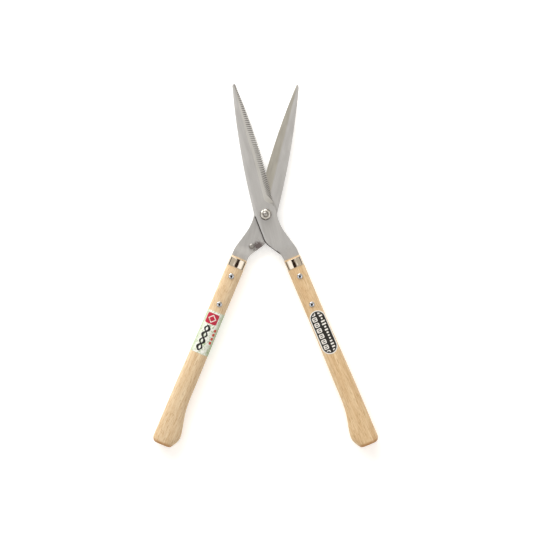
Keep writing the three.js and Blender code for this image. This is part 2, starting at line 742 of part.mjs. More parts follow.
/** Film round the whole handle. */
function wrap({ start, length }) {
  const places = steps(start, start + length, LABEL_STATIONS);
  const outside = loft(places.map((s) => ovalRing(s, SEAT_GAP + FILM)));
  const longer = steps(start - BEYOND, start + length + BEYOND, LABEL_STATIONS);
  return cut(outside, [loft(longer.map((s) => ovalRing(s, SEAT_GAP)))]);
}

/** Sticker with round ends on the handle's front. */
function sticker({ start, length, width }) {
  const radius = width / 2;
  const shape = new THREE.Shape();
  shape.absarc(0, -(start + radius), radius, 0, Math.PI, false);
  shape.absarc(0, -(start + length - radius), radius, Math.PI, 2 * Math.PI, false);
  const prism = new THREE.ExtrudeGeometry(shape, {
    depth: HANDLE_THICKNESS,
    bevelEnabled: false,
    curveSegments: 12,
  });
  return common(wrap({ start: start - BEYOND, length: length + 2 * BEYOND }), prism);
}

// ---------------------------------------------------------------- assembly

const finish = (color, roughness, metalness) =>
  () => new THREE.MeshStandardMaterial({ color, roughness, metalness });
const bladeSteel = finish(0xb5ada2, 0.35, 1);
const platedSteel = finish(0xc9bfae, 0.25, 1);
const zincSteel = finish(0xbdb5a5, 0.35, 1);
const paleWood = finish(0xd9ae84, 0.55, 0);
const whiteFilm = finish(0xe9ebe2, 0.35, 0);
const blackFilm = finish(0x1d1c1c, 0.4, 0);

/** A named mesh. */
function node(name, geometry, material) {
  const mesh = new THREE.Mesh(geometry, material());
  mesh.name = name;
  return mesh;
}

/** A handle's pieces, placed in a half's frame; front is +1 where the heads face +z. */
function handleGroup(side, front, label) {
  const group = new THREE.Group();
  group.position.set(HANDLE_TOP.x, HANDLE_TOP.y, 0);
  group.rotation.z = HANDLE_SPLAY;
  group.add(
    node(`${side}_handle`, handle(), paleWood),
    node(`${side}_ferrule`, ferrule(), platedSteel),
    label,
  );
  const fastenings = new THREE.Group();
  fastenings.rotation.y = front > 0 ? 0 : Math.PI;
  ['upper', 'lower'].forEach((place, i) => {
    fastenings.add(node(`${side}_${place}_rivet`, rivet(RIVET_PLACES[i]), platedSteel));
    fastenings.add(node(`${side}_${place}_burr`, burr(RIVET_PLACES[i]), platedSteel));
  });
  group.add(fastenings);
  return group;
}

/** The half that lies in front: serrated blade and right handle. */
function frontHalf() {
  const half = new THREE.Group();
  half.add(
    node('front_blade', frontBlade(), bladeSteel),
    handleGroup('right', 1, node('right_label', sticker(RIGHT_LABEL), blackFilm)),
  );
  half.rotation.z = REST_HALF_ANGLE;
  return half;
}

/** The half that lies behind, turned over: plain blade, left handle, bolt and stop. */
function rearHalf() {
  const half = new THREE.Group();
  half.add(
    node('rear_blade', rearBlade(), bladeSteel),
    node('pivot_bolt', pivotBolt(), zincSteel),
    node('stop_pin', stopPin(), bladeSteel),
    handleGroup('left', -1, node('left_label', wrap(LEFT_LABEL), whiteFilm)),
  );
  half.rotation.y = Math.PI;
  const turn = new THREE.Group();
  turn.add(half);
  turn.rotation.z = -REST_HALF_ANGLE;
  return turn;
}

const shears = new THREE.Group();
shears.add(
  rearHalf(),
  frontHalf(),
  node('pivot_washer', pivotWasher(), zincSteel),
  node('pivot_nut', pivotNut(), zincSteel),
);
shears.position.z = PARTING_Z;

export default shears;
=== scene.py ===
"""Hedge shears, laid part open on a pale studio floor.

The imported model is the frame: every piece made here stands for one of its nodes and rides on the
same body. Sizes are in millimetres and angles in radians unless a name says otherwise. A shape is
worked out in its own half as that stands when the shears are closed: the pivot axis is Z, the
parting plane between the blades is z = 0, the outer face looks towards +z and the cutting edge is
on the +x side. Half.place then carries it to where the half lies.
"""

import logging
import math
from collections.abc import Callable
from dataclasses import dataclass, field
from enum import Enum

import bmesh
import bpy
import numpy as np
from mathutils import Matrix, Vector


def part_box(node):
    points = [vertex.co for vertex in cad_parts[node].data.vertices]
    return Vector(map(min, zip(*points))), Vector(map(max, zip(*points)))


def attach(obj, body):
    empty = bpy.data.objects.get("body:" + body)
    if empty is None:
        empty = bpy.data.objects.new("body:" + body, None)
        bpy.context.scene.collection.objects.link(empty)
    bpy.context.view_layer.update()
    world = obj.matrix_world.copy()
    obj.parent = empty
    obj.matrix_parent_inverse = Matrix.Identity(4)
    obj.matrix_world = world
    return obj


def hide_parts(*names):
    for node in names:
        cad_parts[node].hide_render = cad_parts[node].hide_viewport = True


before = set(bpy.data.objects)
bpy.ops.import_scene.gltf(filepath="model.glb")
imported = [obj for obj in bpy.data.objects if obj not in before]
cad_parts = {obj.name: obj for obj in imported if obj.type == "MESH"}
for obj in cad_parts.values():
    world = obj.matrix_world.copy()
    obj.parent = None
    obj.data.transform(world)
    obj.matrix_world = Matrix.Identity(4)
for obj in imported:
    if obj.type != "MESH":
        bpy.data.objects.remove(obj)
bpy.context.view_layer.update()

log = logging.getLogger("shears")

Array = np.ndarray
Tree = bpy.types.NodeTree
Socket = bpy.types.NodeSocket

MM = 0.001
REST_HALF_ANGLE = math.radians(13.45)  # each half's turn from closed, as the shears lie
PARTING_Z = 10.0  # the plane between the blades, above the floor

BLADE_GAP = 0.3  # between the two blades
SEAT_GAP = 0.1  # between parts that seat on each other
FIT = 0.15  # round a stem that is held
RUNNING_FIT = 0.1  # round the bolt, where the front blade turns
HEAT_SHIFT = (9.0, 2.5)  # from the stop to the middle of its heat tint


def part(value: Array | float, low: float, high: float) -> Array:
    """How far a value has come from low to high, from 0 to 1.

    Args:
        value: the value or values.
        low: where the share is 0.
        high: where the share is 1.

    Returns:
        The share, held between 0 and 1.
    """
    return np.clip((np.asarray(value, float) - low) / (high - low), 0, 1)


def ease(value: Array | float, low: float, high: float) -> Array:
    """The same share with a soft start and end, 3t^2 - 2t^3.

    Args:
        value: the value or values.
        low: where the share is 0.
        high: where the share is 1.

    Returns:
        The eased share.
    """
    share = part(value, low, high)
    return share * share * (3 - 2 * share)


def mix(a: Array | float, b: Array | float, share: Array | float) -> Array:
    """The value a share of the way from a to b."""
    return a + (b - a) * share


def least(a: Array, b: Array, blend: float) -> Array:
    """The smaller of two heights, with the corner between them rounded.

    Args:
        a: one height.
        b: the other height.
        blend: how far apart the two are where the rounding starts.

    Returns:
        The smaller height, less a little where the two are close: h(1 - h) of the blend.
    """
    share = np.clip(0.5 + 0.5 * (b - a) / blend, 0, 1)
    return mix(b, a, share) - blend * share * (1 - share)


def turned(points: Array, angle: float) -> Array:
    """Points turned about Z by an angle.

    Args:
        points: plan or space points in the last axis.
        angle: the turn, anticlockwise seen from +Z.

    Returns:
        The turned points.
    """
    made = np.array(points, float)
    x, y = points[..., 0], points[..., 1]
    made[..., 0] = x * math.cos(angle) - y * math.sin(angle)
    made[..., 1] = x * math.sin(angle) + y * math.cos(angle)
    return made


class Half(Enum):
    """The two halves of the shears. The rear one is the same design turned over about Y."""

    FRONT = 1
    REAR = -1

    @property
    def body(self) -> str:
        """Name of the body that the half's pieces ride on."""
        return f"{self.name.lower()}_half"

    @property
    def turn(self) -> float:
        """Turn about Z from closed to where the half lies."""
        return self.value * REST_HALF_ANGLE

    def place(self, points: Array) -> Array:
        """Carries points of the closed half to where it lies.

        Args:
            points: points of the half's own frame, in the last axis.

        Returns:
            The points in the shears' frame.
        """
        flipped = points * np.array([self.value, 1, self.value])
        return turned(flipped, self.turn) + np.array([0, 0, PARTING_Z])


@dataclass(frozen=True)
class HandleAxis:
    """Frame of a handle in its half: s runs down its axis from the ferrule's top, x outwards."""

    offset: float = 23.1
    drop: float = 72.4
    splay: float = math.radians(9.55)

    def point(self, x: Array | float, s: Array | float) -> Array:
        """Plan point of the half at x sideways and s down the axis."""
        local = np.stack(np.broadcast_arrays(np.asarray(x, float), -np.asarray(s, float)), -1)
        return turned(local, self.splay) + np.array([self.offset, -self.drop])

    def carry(self, points: Array) -> Array:
        """Space points of the handle's frame, y = -s, in the half's frame."""
        return turned(points, self.splay) + np.array([self.offset, -self.drop, 0])

    def origin(self, half: Half) -> Array:
        """The frame's origin where the half lies."""
        return half.place(self.carry(np.zeros(3)))


AXIS = HandleAxis()


# ---------------------------------------------------------------- surfaces


class Skin:
    """A closed surface in the making: points, and the faces between lines of them."""

    def __init__(self) -> None:
        """Starts with no points."""
        self.points = np.empty((0, 3))
        self.marks = np.empty(0)
        self.faces: list[list[int]] = []

    def add(self, points: Array, mark: Array | float = 0.0) -> Array:
        """Adds points.

        Args:
            points: any grid of points.
            mark: a value for each point, which a finish may read. The blades' steel takes 0 to 1 as fresh
                grinding and less than 0 as painted shade.

        Returns:
            The points' numbers, in the same grid.
        """
        flat = np.asarray(points, float).reshape(-1, 3)
        numbers = np.arange(len(flat)) + len(self.points)
        values = np.broadcast_to(np.asarray(mark, float), points.shape[:-1]).reshape(-1)
        self.points = np.vstack([self.points, flat])
        self.marks = np.concatenate([self.marks, values])
        return numbers.reshape(points.shape[:-1])

    def sheet(self, grid: Array, left_out: Array | None = None) -> None:
        """Four-sided faces over a grid of numbers.

        Args:
            grid: rows and columns of point numbers.
            left_out: True for each cell that stays open.
        """
        corners = [grid[:-1, :-1], grid[:-1, 1:], grid[1:, 1:], grid[1:, :-1]]
        cells = np.stack(corners, -1)
        kept = cells.reshape(-1, 4) if left_out is None else cells[~left_out]
        self.faces.extend(kept.tolist())

    def around(self, near: Array, far: Array) -> None:
        """Faces between two closed lines with the same count of points."""
        rows = np.stack([near, far])
        self.sheet(np.column_stack([rows, rows[:, :1]]))

    def tube(self, rings: Array, mark: Array | float = 0.0) -> Array:
        """Faces between closed rings.

        Args:
            rings: rows of rings, each with the same count of points.
            mark: as for add.

        Returns:
            The rings' numbers.
        """
        grid = self.add(rings, mark)
        self.sheet(np.column_stack([grid, grid[:, :1]]))
        return grid

    def close(self, ring: Array) -> None:
        """Fills a closed line with a fan round its middle.

        Args:
            ring: the line's point numbers.
        """
        middle = self.add(self.points[ring].mean(0)[None])[0]
        fan = np.stack([ring, np.roll(ring, -1), np.full(len(ring), middle)], -1)
        self.faces.extend(fan.tolist())

    def mesh(self, name: str, crease: float) -> bpy.types.Mesh:
        """Turns the surface into a mesh in metres that faces outwards.

        Args:
            name: the mesh's name.
            crease: angle between two faces from which their edge stays sharp.

        Returns:
            The mesh.
        """
        made = bpy.data.meshes.new(name)
        made.from_pydata((self.points * MM).tolist(), [], self.faces)
        values = made.attributes.new("ground", "FLOAT", "POINT")
        values.data.foreach_set("value", self.marks.astype(np.float32))
        work = bmesh.new()
        work.from_mesh(made)
        bmesh.ops.recalc_face_normals(work, faces=work.faces)
        work.to_mesh(made)
        work.free()
        made.shade_smooth()
        made.set_sharp_from_angle(angle=crease)
        return made


def rounded(path: list[tuple[float, float]], rounds: list[float], count: int = 6) -> Array:
    """A line of straight stretches whose corners are curves.

    Each corner is the curve (1-t)^2 a + 2t(1-t) c + t^2 b from a point before the corner c to a
    point after it, both the rounding's length away.

    Args:
        path: the corners, the ends among them.
        rounds: the rounding's length at each inner corner.
        count: points in each curve.

    Returns:
        The line's points.
    """
    corners = np.array(path, float)
    share = np.linspace(0, 1, count)[:, None]
    made = [corners[:1]]
    for before, corner, after, length in zip(corners, corners[1:], corners[2:], rounds):
        start = corner + (before - corner) / np.linalg.norm(before - corner) * length
        end = corner + (after - corner) / np.linalg.norm(after - corner) * length
        made.append((1 - share) ** 2 * start + 2 * share * (1 - share) * corner + share**2 * end)
    made.append(corners[-1:])
    return np.vstack(made)


def along(path: Array, share: Array) -> Array:
    """Points at shares of a line's length.

    Args:
        path: the line's points.
        share: from 0 at its start to 1 at its end.

    Returns:
        The points.
    """
    steps = np.linalg.norm(np.diff(path, axis=0), axis=1)
    length = np.concatenate([[0], np.cumsum(steps)])
    at = np.asarray(share) * length[-1]
    return np.stack([np.interp(at, length, path[:, k]) for k in range(path.shape[1])], -1)


def circle(count: int, start: float = 0.0) -> Array:
    """Angles of evenly spaced points round a circle."""
    return start + np.arange(count) * 2 * math.pi / count


def spun(profile: Array, angles: Array, reach: Callable[[Array, Array], Array] | None = None) -> Array:
    """A profile of (radius, z) turned about Z, as rings.

    Args:
        profile: the radius and height of each ring.
        angles: the angle of each column.
        reach: gives the radius from the profile's radii and the angles, where it isn't round.

    Returns:
        Rings of points.
    """
    radius, angle = np.meshgrid(profile[:, 0], angles, indexing="ij")
    height = np.broadcast_to(profile[:, 1:], radius.shape)
    if reach is not None:
        radius = reach(radius, angle)
    return np.stack([radius * np.cos(angle), radius * np.sin(angle), height], -1)


def make_piece(
    skin: Skin,
    name: str,
    node: str,
    body: str,
    finish: "Finish",
    crease: float = math.radians(32),
) -> bpy.types.Object:
    """Makes a finished piece, rides it on its body and stands it for its node.

    Args:
        skin: the piece's closed surface, where it lies.
        name: the piece's name.
        node: the node of the frame that it stands for.
        body: the body that it rides on.
        finish: its material.
        crease: angle from which an edge stays sharp.

    Returns:
        The piece.
    """
    piece = bpy.data.objects.new(name, skin.mesh(name, crease))
    bpy.context.scene.collection.objects.link(piece)
    piece.data.materials.append(finish.material())
    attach(piece, body)
    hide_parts(node)
    log.info("%s: %d points, %d faces", name, len(skin.points), len(skin.faces))
    return piece


# ---------------------------------------------------------------- finishes


def linear(colour: str) -> tuple[float, float, float, float]:
    """Turns an sRGB hex colour to linear light.

    Args:
        colour: the colour as #rrggbb.

    Returns:
        Red, green, blue and alpha.
    """
    parts = np.array([int(colour[k : k + 2], 16) for k in (1, 3, 5)]) / 255
    light = np.where(parts <= 0.04045, parts / 12.92, ((parts + 0.055) / 1.055) ** 2.4)
    return (*light.tolist(), 1.0)


def add(
    tree: Tree,
    kind: str,
    inputs: list[object] | dict[int | str, object],
    output: int | str = 0,
    **settings: object,
) -> Socket:
    """Adds a node with its settings and links.

    Args:
        tree: the tree that it goes into.
        kind: the node's type, without its ShaderNode prefix.
        inputs: the inputs in order, or by number or name. Each is the socket that it is linked
            from, a hex colour or the value that it is set to.
        output: the output to return.
        settings: the node's own settings.

    Returns:
        One of the node's outputs.
    """
    made = tree.nodes.new(f"ShaderNode{kind}")
    for name, value in settings.items():
        setattr(made, name, value)
    for name, value in inputs.items() if isinstance(inputs, dict) else enumerate(inputs):
        if isinstance(value, Socket):
            tree.links.new(value, made.inputs[name])
        else:
            made.inputs[name].default_value = linear(value) if isinstance(value, str) else value
    return made.outputs[output] if made.outputs else None


@dataclass(frozen=True)
class Lie:
    """Where a pattern's own frame lies: its origin in millimetres and its turn about Z."""

    x: float = 0.0
    y: float = 0.0
    z: float = PARTING_Z
    turn: float = 0.0

    @classmethod
    def of_handle(cls, half: Half) -> "Lie":
        """The frame of a half's handle, with x to the right and y up the handle."""
        return cls(*AXIS.origin(half).tolist(), half.turn + half.value * AXIS.splay)


@dataclass(frozen=True)
class Finish:
    """A material: its name, the record's slot that it belongs to, and where its pattern lies."""

    name: str
    slot: str
    lie: Lie = field(default_factory=Lie)

    def material(self) -> bpy.types.Material:
        """The finish's material, made once.

        Returns:
            The material.
        """
        made = bpy.data.materials.get(self.name)
        if made is None:
            made = bpy.data.materials.new(self.name)
            made.use_nodes = True
            tree = made.node_tree
            tree.nodes.clear()
            add(tree, "OutputMaterial", {"Surface": self.paint(tree)})
        return made

    def paint(self, tree: Tree) -> Socket:
        """Adds the finish's nodes and gives its shader; each kind of finish has its own."""
        raise NotImplementedError

    def place(self, tree: Tree) -> Socket:
        """The pattern's own coordinates in millimetres.

        Args:
            tree: the material's tree.

        Returns:
            A vector socket.
        """
        here = add(tree, "TexCoord", {}, "Object")
        origin = (self.lie.x * MM, self.lie.y * MM, self.lie.z * MM)
        return add(
            tree,
            "Mapping",
            {"Vector": here, "Location": origin, "Rotation": (0, 0, self.lie.turn), "Scale": (MM, MM, MM)},
            vector_type="TEXTURE",
        )

    def grain(
        self,
        tree: Tree,
        place: Socket,
        size: tuple[float, float, float],
        detail: float = 3.0,
        warp: float = 0.0,
    ) -> Socket:
        """Noise whose features have the given size in millimetres along x, y and z.

        Args:
            tree: the material's tree.
            place: coordinates in millimetres.
            size: the features' size.
            detail: octaves of finer noise.
            warp: distortion.

        Returns:
            A value socket, about 0.5 in the middle.
        """
        scale = tuple(1 / length for length in size)
        at = add(tree, "Mapping", {"Vector": place, "Scale": scale})
        return add(
            tree,
            "TexNoise",
            {"Vector": at, "Scale": 1.0, "Detail": detail, "Roughness": 0.6, "Distortion": warp},
        )


@dataclass(frozen=True)
class GroundSteel(Finish):
    """Carbon tool steel, forged and then belt-ground along the blade.

    It gives a satin grey with fine lines lengthwise, cloudy where the belt pressed unevenly. It is
    brighter and smoother where the bevel and the honed strip were ground last. Painted shade goes
    into the serrations, and a painted shadow line runs down the shank's chamfer.
    """

    face: str = "#c0bfbe"
    fresh: str = "#d1d0ce"
    # Colour of the painted shade in the serrations and of the painted shadow line down the shank's
    # chamfer.
    scale: str = "#3b3633"
    roughness: float = 0.46
    heat_x: float = 0.0
    heat_y: float = 0.0
    heat: float = 0.0

    def paint(self, tree: Tree) -> Socket:
        """Adds the ground lines, the clouds, the fresh grinding and the heat tint.

        Args:
            tree: the material's tree.

        Returns:
            The shader.
        """
        place = self.place(tree)
        # Grit lines are 0.05 mm apart; drawn 0.7 mm apart so that they show.
        lines = self.grain(tree, place, (0.7, 60.0, 0.7), detail=4.0)
        clouds = self.grain(tree, place, (9.0, 34.0, 9.0), detail=2.0, warp=0.6)
        ground = add(tree, "Attribute", {}, "Fac", attribute_name="ground")
        bright = add(tree, "MapRange", [ground, 0.0, 1.0])
        # Marks below 0 mix in the painted shade: the serrations and the shank's shadow line.
        painted_shade = add(tree, "MapRange", [ground, 0.0, -1.0])
        colour = add(tree, "Mix", {0: bright, 6: self.face, 7: self.fresh}, 2, data_type="RGBA")
        colour = add(tree, "Mix", {0: painted_shade, 6: colour, 7: self.scale}, 2, data_type="RGBA")
        shade = add(tree, "MapRange", [lines, 0.3, 0.7, 0.94, 1.06])
        cloud = add(tree, "MapRange", [clouds, 0.3, 0.7, 0.955, 1.045])
        tone = add(tree, "Math", [shade, cloud], operation="MULTIPLY")
        colour = add(tree, "VectorMath", {0: colour, "Scale": tone}, operation="SCALE")
        colour = self.tinted(tree, place, colour)
        uneven = add(
            tree, "MapRange", [clouds, 0.3, 0.7, self.roughness - 0.04, self.roughness + 0.05]
        )
        honed = add(tree, "MapRange", [ground, -1.0, 1.0, 0.1, -0.1])
        rough = add(tree, "Math", [uneven, honed], operation="ADD")
        relief = add(tree, "Bump", {"Strength": 0.25, "Distance": 0.03 * MM, "Height": lines})
        return add(
            tree,
            "BsdfPrincipled",
            {"Base Color": colour, "Metallic": 1.0, "Roughness": rough, "Normal": relief},
        )

    def tinted(self, tree: Tree, place: Socket, colour: Socket) -> Socket:
        """The brown and purple oxide left round the stop by the heat that set it.

        Args:
            tree: the material's tree.
            place: coordinates in millimetres.
            colour: the steel's colour.

        Returns:
            The colour with the tint.
        """
        if self.heat <= 0:
            return colour
        middle = (self.heat_x, self.heat_y, 0)
        away = add(tree, "VectorMath", [place, middle], "Value", operation="DISTANCE")
        patch = self.grain(tree, place, (5.0, 5.0, 50.0), detail=4.0, warp=1.5)
        shift = add(tree, "MapRange", [patch, 0.3, 0.7, -5.0, 5.0])
        ragged = add(tree, "Math", [away, shift], operation="ADD")
        share = add(tree, "MapRange", [ragged, 8.5, 4.0, 0.0, self.heat])
        return add(tree, "Mix", {0: share, 6: colour, 7: "#6a5f5e"}, 2, data_type="RGBA")


@dataclass(frozen=True)
class PlatedMetal(Finish):
    """Steel with an electroplated coat.

    Zinc over a turned part is bright and slightly clouded; nickel over a drawn or upset one is
    close to a mirror, with faint lines where the tool ran.
    """

    colour: str = "#d9d6cf"
    roughness: float = 0.2
    cloud: float = 0.05
    line: tuple[float, float, float] = (6.0, 0.4, 6.0)

    def paint(self, tree: Tree) -> Socket:
        """Adds the coat's clouds and the tool's lines beneath it.

        Args:
            tree: the material's tree.

        Returns:
            The shader.
        """
        place = self.place(tree)
        clouds = self.grain(tree, place, (2.2, 2.2, 2.2), detail=3.0)
        lines = self.grain(tree, place, self.line, detail=2.0)
        tone = add(tree, "MapRange", [clouds, 0.3, 0.7, 1 - self.cloud, 1 + self.cloud])
        colour = add(tree, "VectorMath", {0: linear(self.colour)[:3], "Scale": tone}, operation="SCALE")
        rough = add(
            tree, "MapRange", [clouds, 0.3, 0.7, self.roughness * 0.8, self.roughness * 1.25]
        )
        relief = add(tree, "Bump", {"Strength": 0.12, "Distance": 0.02 * MM, "Height": lines})
        return add(
            tree,
            "BsdfPrincipled",
            {"Base Color": colour, "Metallic": 1.0, "Roughness": rough, "Normal": relief},
        )


@dataclass(frozen=True)
class LacqueredWood(Finish):
    """White oak, turned and planed oval, sanded and sealed with a thin clear lacquer.

    It is pale and straight-grained, with soft growth streaks and short open pores, and takes up
    more colour on the end grain of the butt.
    """

    pale: str = "#ecd2af"
    deep: str = "#d2ab7c"
    butt: float = -290.0

    def paint(self, tree: Tree) -> Socket:
        """Adds the streaks, the pores, the end grain and the lacquer.

        Args:
            tree: the material's tree.

        Returns:
            The shader.
        """
        place = self.place(tree)
        broad = self.grain(tree, place, (7.0, 110.0, 9.0), detail=3.0, warp=0.8)
        streaks = self.grain(tree, place, (1.6, 34.0, 1.6), detail=5.0, warp=0.4)
        # Pores are 0.25 mm wide; drawn 0.9 mm wide so that they show.
        pores = self.grain(tree, place, (0.9, 9.0, 0.9), detail=2.0)
        wide = add(tree, "MapRange", [broad, 0.34, 0.66, 0.0, 0.5])
        narrow = add(tree, "MapRange", [streaks, 0.34, 0.66, 0.0, 0.6])
        share = add(tree, "Math", [wide, narrow], operation="ADD")
        colour = add(tree, "Mix", {0: share, 6: self.deep, 7: self.pale}, 2, data_type="RGBA")
        pore = add(tree, "MapRange", [pores, 0.52, 0.7, 0.0, 0.75])
        colour = add(tree, "Mix", {0: pore, 6: colour, 7: "#b08654"}, 2, data_type="RGBA")
        height = add(tree, "SeparateXYZ", [place], "Y")
        end = add(tree, "MapRange", [height, self.butt + 3.2, self.butt, 0.0, 0.75])
        colour = add(tree, "Mix", {0: end, 6: colour, 7: "#b57f45"}, 2, data_type="RGBA")
        rough = add(tree, "MapRange", [streaks, 0.3, 0.7, 0.42, 0.52])
        sunk = add(tree, "Math", [pore, 1.5], operation="MULTIPLY")
        relief = add(tree, "Math", [streaks, sunk], operation="SUBTRACT")
        bump = add(tree, "Bump", {"Strength": 0.3, "Distance": 0.08 * MM, "Height": relief})
        lacquered = {"IOR": 1.48, "Coat Weight": 0.12, "Coat Roughness": 0.3}
        return add(
            tree,
            "BsdfPrincipled",
            {"Base Color": colour, "Roughness": rough, "Normal": bump, **lacquered},
        )


@dataclass(frozen=True)
class PrintedFilm(Finish):
    """Polypropylene label film, printed and pressed on with its own adhesive.

    It is smooth and semi-gloss, lies a little unevenly on the wood, and its ink has crisp edges.
    """

    start: float = 83.5
    length: float = 65.0
    width: float = 26.0

    def film(self, tree: Tree, place: Socket, colour: Socket) -> Socket:
        """Gives the film its colour, its gloss and the slight waves in which it lies.

        Args:
            tree: the material's tree.
            place: coordinates in millimetres.
            colour: the print.

        Returns:
            The film's shader.
        """
        waves = self.grain(tree, place, (7.0, 9.0, 7.0), detail=1.0)
        rough = add(tree, "MapRange", [waves, 0.3, 0.7, 0.3, 0.42])
        bump = add(tree, "Bump", {"Strength": 0.2, "Distance": 0.1 * MM, "Height": waves})
        return add(
            tree,
            "BsdfPrincipled",
            {"Base Color": colour, "Roughness": rough, "IOR": 1.49, "Normal": bump},
        )

    def centred(self, tree: Tree, place: Socket, x: float, s: float) -> tuple[Socket, Socket]:
        """Coordinates about a point of the label.

        Args:
            tree: the material's tree.
            place: coordinates in millimetres.
            x: the point's place across the handle.
            s: the point's place down the label from its top.

        Returns:
            The x and y sockets.
        """
        middle = (x, -(self.start + s), 0)
        moved = add(tree, "VectorMath", [place, middle], operation="SUBTRACT")
        across = add(tree, "SeparateXYZ", [moved], "X")
        return across, across.node.outputs["Y"]

    def inside(
        self,
        tree: Tree,
        x: Socket,
        y: Socket,
        half_x: float,
        half_y: float,
        power: float = 5.0,
    ) -> Socket:
        """1 inside a rounded block, 0 outside: |x/a|^p + |y/b|^p against 1.

        Args:
            tree: the material's tree.
            x: distance across from the block's middle.
            y: distance along from the block's middle.
            half_x: the block's half width.
            half_y: its half height.
            power: 2 is an ellipse, more is squarer.

        Returns:
            A value socket.
        """
        terms = []
        for value, half in ((x, half_x), (y, half_y)):
            share = add(tree, "Math", [value, half], operation="DIVIDE")
            share = add(tree, "Math", [share], operation="ABSOLUTE")
            terms.append(add(tree, "Math", [share, power], operation="POWER"))
        total = add(tree, "Math", terms, operation="ADD")
        return add(tree, "MapRange", [total, 1.12, 0.88])

    def repeat(self, tree: Tree, y: Socket, pitch: float) -> tuple[Socket, Socket]:
        """Divides a length into equal stretches.

        Args:
            tree: the material's tree.
            y: the length.
            pitch: the stretches' length.

        Returns:
            The distance from the middle of its stretch, and the stretch's number.
        """
        scaled = add(tree, "Math", [y, pitch], operation="DIVIDE")
        number = add(tree, "Math", [scaled], operation="FLOOR")
        share = add(tree, "Math", [scaled, number], operation="SUBTRACT")
        away = add(tree, "Math", [share, 0.5], operation="SUBTRACT")
        return add(tree, "Math", [away, pitch], operation="MULTIPLY"), number


@dataclass(frozen=True)
class WrapPrint(PrintedFilm):
    """The left handle's wrap: leaf green tints on white, a red block, a black twist and red dots."""

    def paint(self, tree: Tree) -> Socket:
        """Adds the tints and then each printed mark over them.

        Args:
            tree: the material's tree.

        Returns:
            The shader.
        """
        place = self.place(tree)
        leaves = self.grain(tree, place, (2.4, 3.4, 30.0), detail=3.0, warp=1.4)
        x = add(tree, "SeparateXYZ", [place], "X")
        across = add(tree, "Math", [x], operation="ABSOLUTE")
        rim = add(tree, "MapRange", [across, 8.0, 13.0, 0.0, 0.85])
        blades = add(tree, "MapRange", [leaves, 0.5, 0.62, 0.0, 1.0])
        leaf = add(tree, "Math", [blades, rim], operation="MAXIMUM")
        colour = add(tree, "Mix", {0: leaf, 6: "#f0f1ec", 7: "#9db383"}, 2, data_type="RGBA")
        for share, ink in (self.block(tree, place), self.twist(tree, place), self.dots(tree, place)):
            colour = add(tree, "Mix", {0: share, 6: colour, 7: ink}, 2, data_type="RGBA")
        return self.film(tree, place, colour)

    def block(self, tree: Tree, place: Socket) -> tuple[Socket, str]:
        """A red rounded block with a plain diamond, |x| + |y| = constant, left clear in it.

        Args:
            tree: the material's tree.
            place: coordinates in millimetres.

        Returns:
            Where it is printed, and its ink.
        """
        x, y = self.centred(tree, place, -1.2, 11.3)
        block = self.inside(tree, x, y, 8.6, 8.0, 8.0)
        sides = [add(tree, "Math", [value], operation="ABSOLUTE") for value in (x, y)]
        away = add(tree, "Math", sides, operation="ADD")
        ring = add(tree, "Math", [away, 5.4], operation="SUBTRACT")
        ring = add(tree, "Math", [ring], operation="ABSOLUTE")
        printed = add(tree, "MapRange", [ring, 0.7, 1.0])
        return add(tree, "Math", [block, printed], operation="MULTIPLY"), "#b8163a"

    def twist(self, tree: Tree, place: Socket) -> tuple[Socket, str]:
        """Two black strands that cross back and forth, x = a sin(2 pi y / pitch), down the middle.

        Args:
            tree: the material's tree.
            place: coordinates in millimetres.

        Returns:
            Where it is printed, and its ink.
        """
        x, y = self.centred(tree, place, -2.6, 41.5)
        phase = add(tree, "Math", [y, 2 * math.pi / 19.0], operation="MULTIPLY")
        wave = add(tree, "Math", [phase], operation="SINE")
        swing = add(tree, "Math", [wave, 3.3], operation="MULTIPLY")
        strands = []
        for how, width in (("ADD", 2.1), ("SUBTRACT", 1.5)):
            off = add(tree, "Math", [x, swing], operation=how)
            off = add(tree, "Math", [off], operation="ABSOLUTE")
            strands.append(add(tree, "MapRange", [off, width, width - 0.3]))
        both = add(tree, "Math", strands, operation="MAXIMUM")
        off = add(tree, "Math", [y], operation="ABSOLUTE")
        ends = add(tree, "MapRange", [off, 20.0, 19.7])
        return add(tree, "Math", [both, ends], operation="MULTIPLY"), "#15110f"

    def dots(self, tree: Tree, place: Socket) -> tuple[Socket, str]:
        """Four small red blocks one above the other at the inner side.

        Args:
            tree: the material's tree.
            place: coordinates in millimetres.

        Returns:
            Where they are printed, and their ink.
        """
        x, y = self.centred(tree, place, 9.4, 36.0)
        row, _ = self.repeat(tree, y, 6.3)
        dot = self.inside(tree, x, row, 1.7, 2.1, 4.0)
        off = add(tree, "Math", [y], operation="ABSOLUTE")
        ends = add(tree, "MapRange", [off, 12.7, 12.5])
        return add(tree, "Math", [dot, ends], operation="MULTIPLY"), "#c9513f"


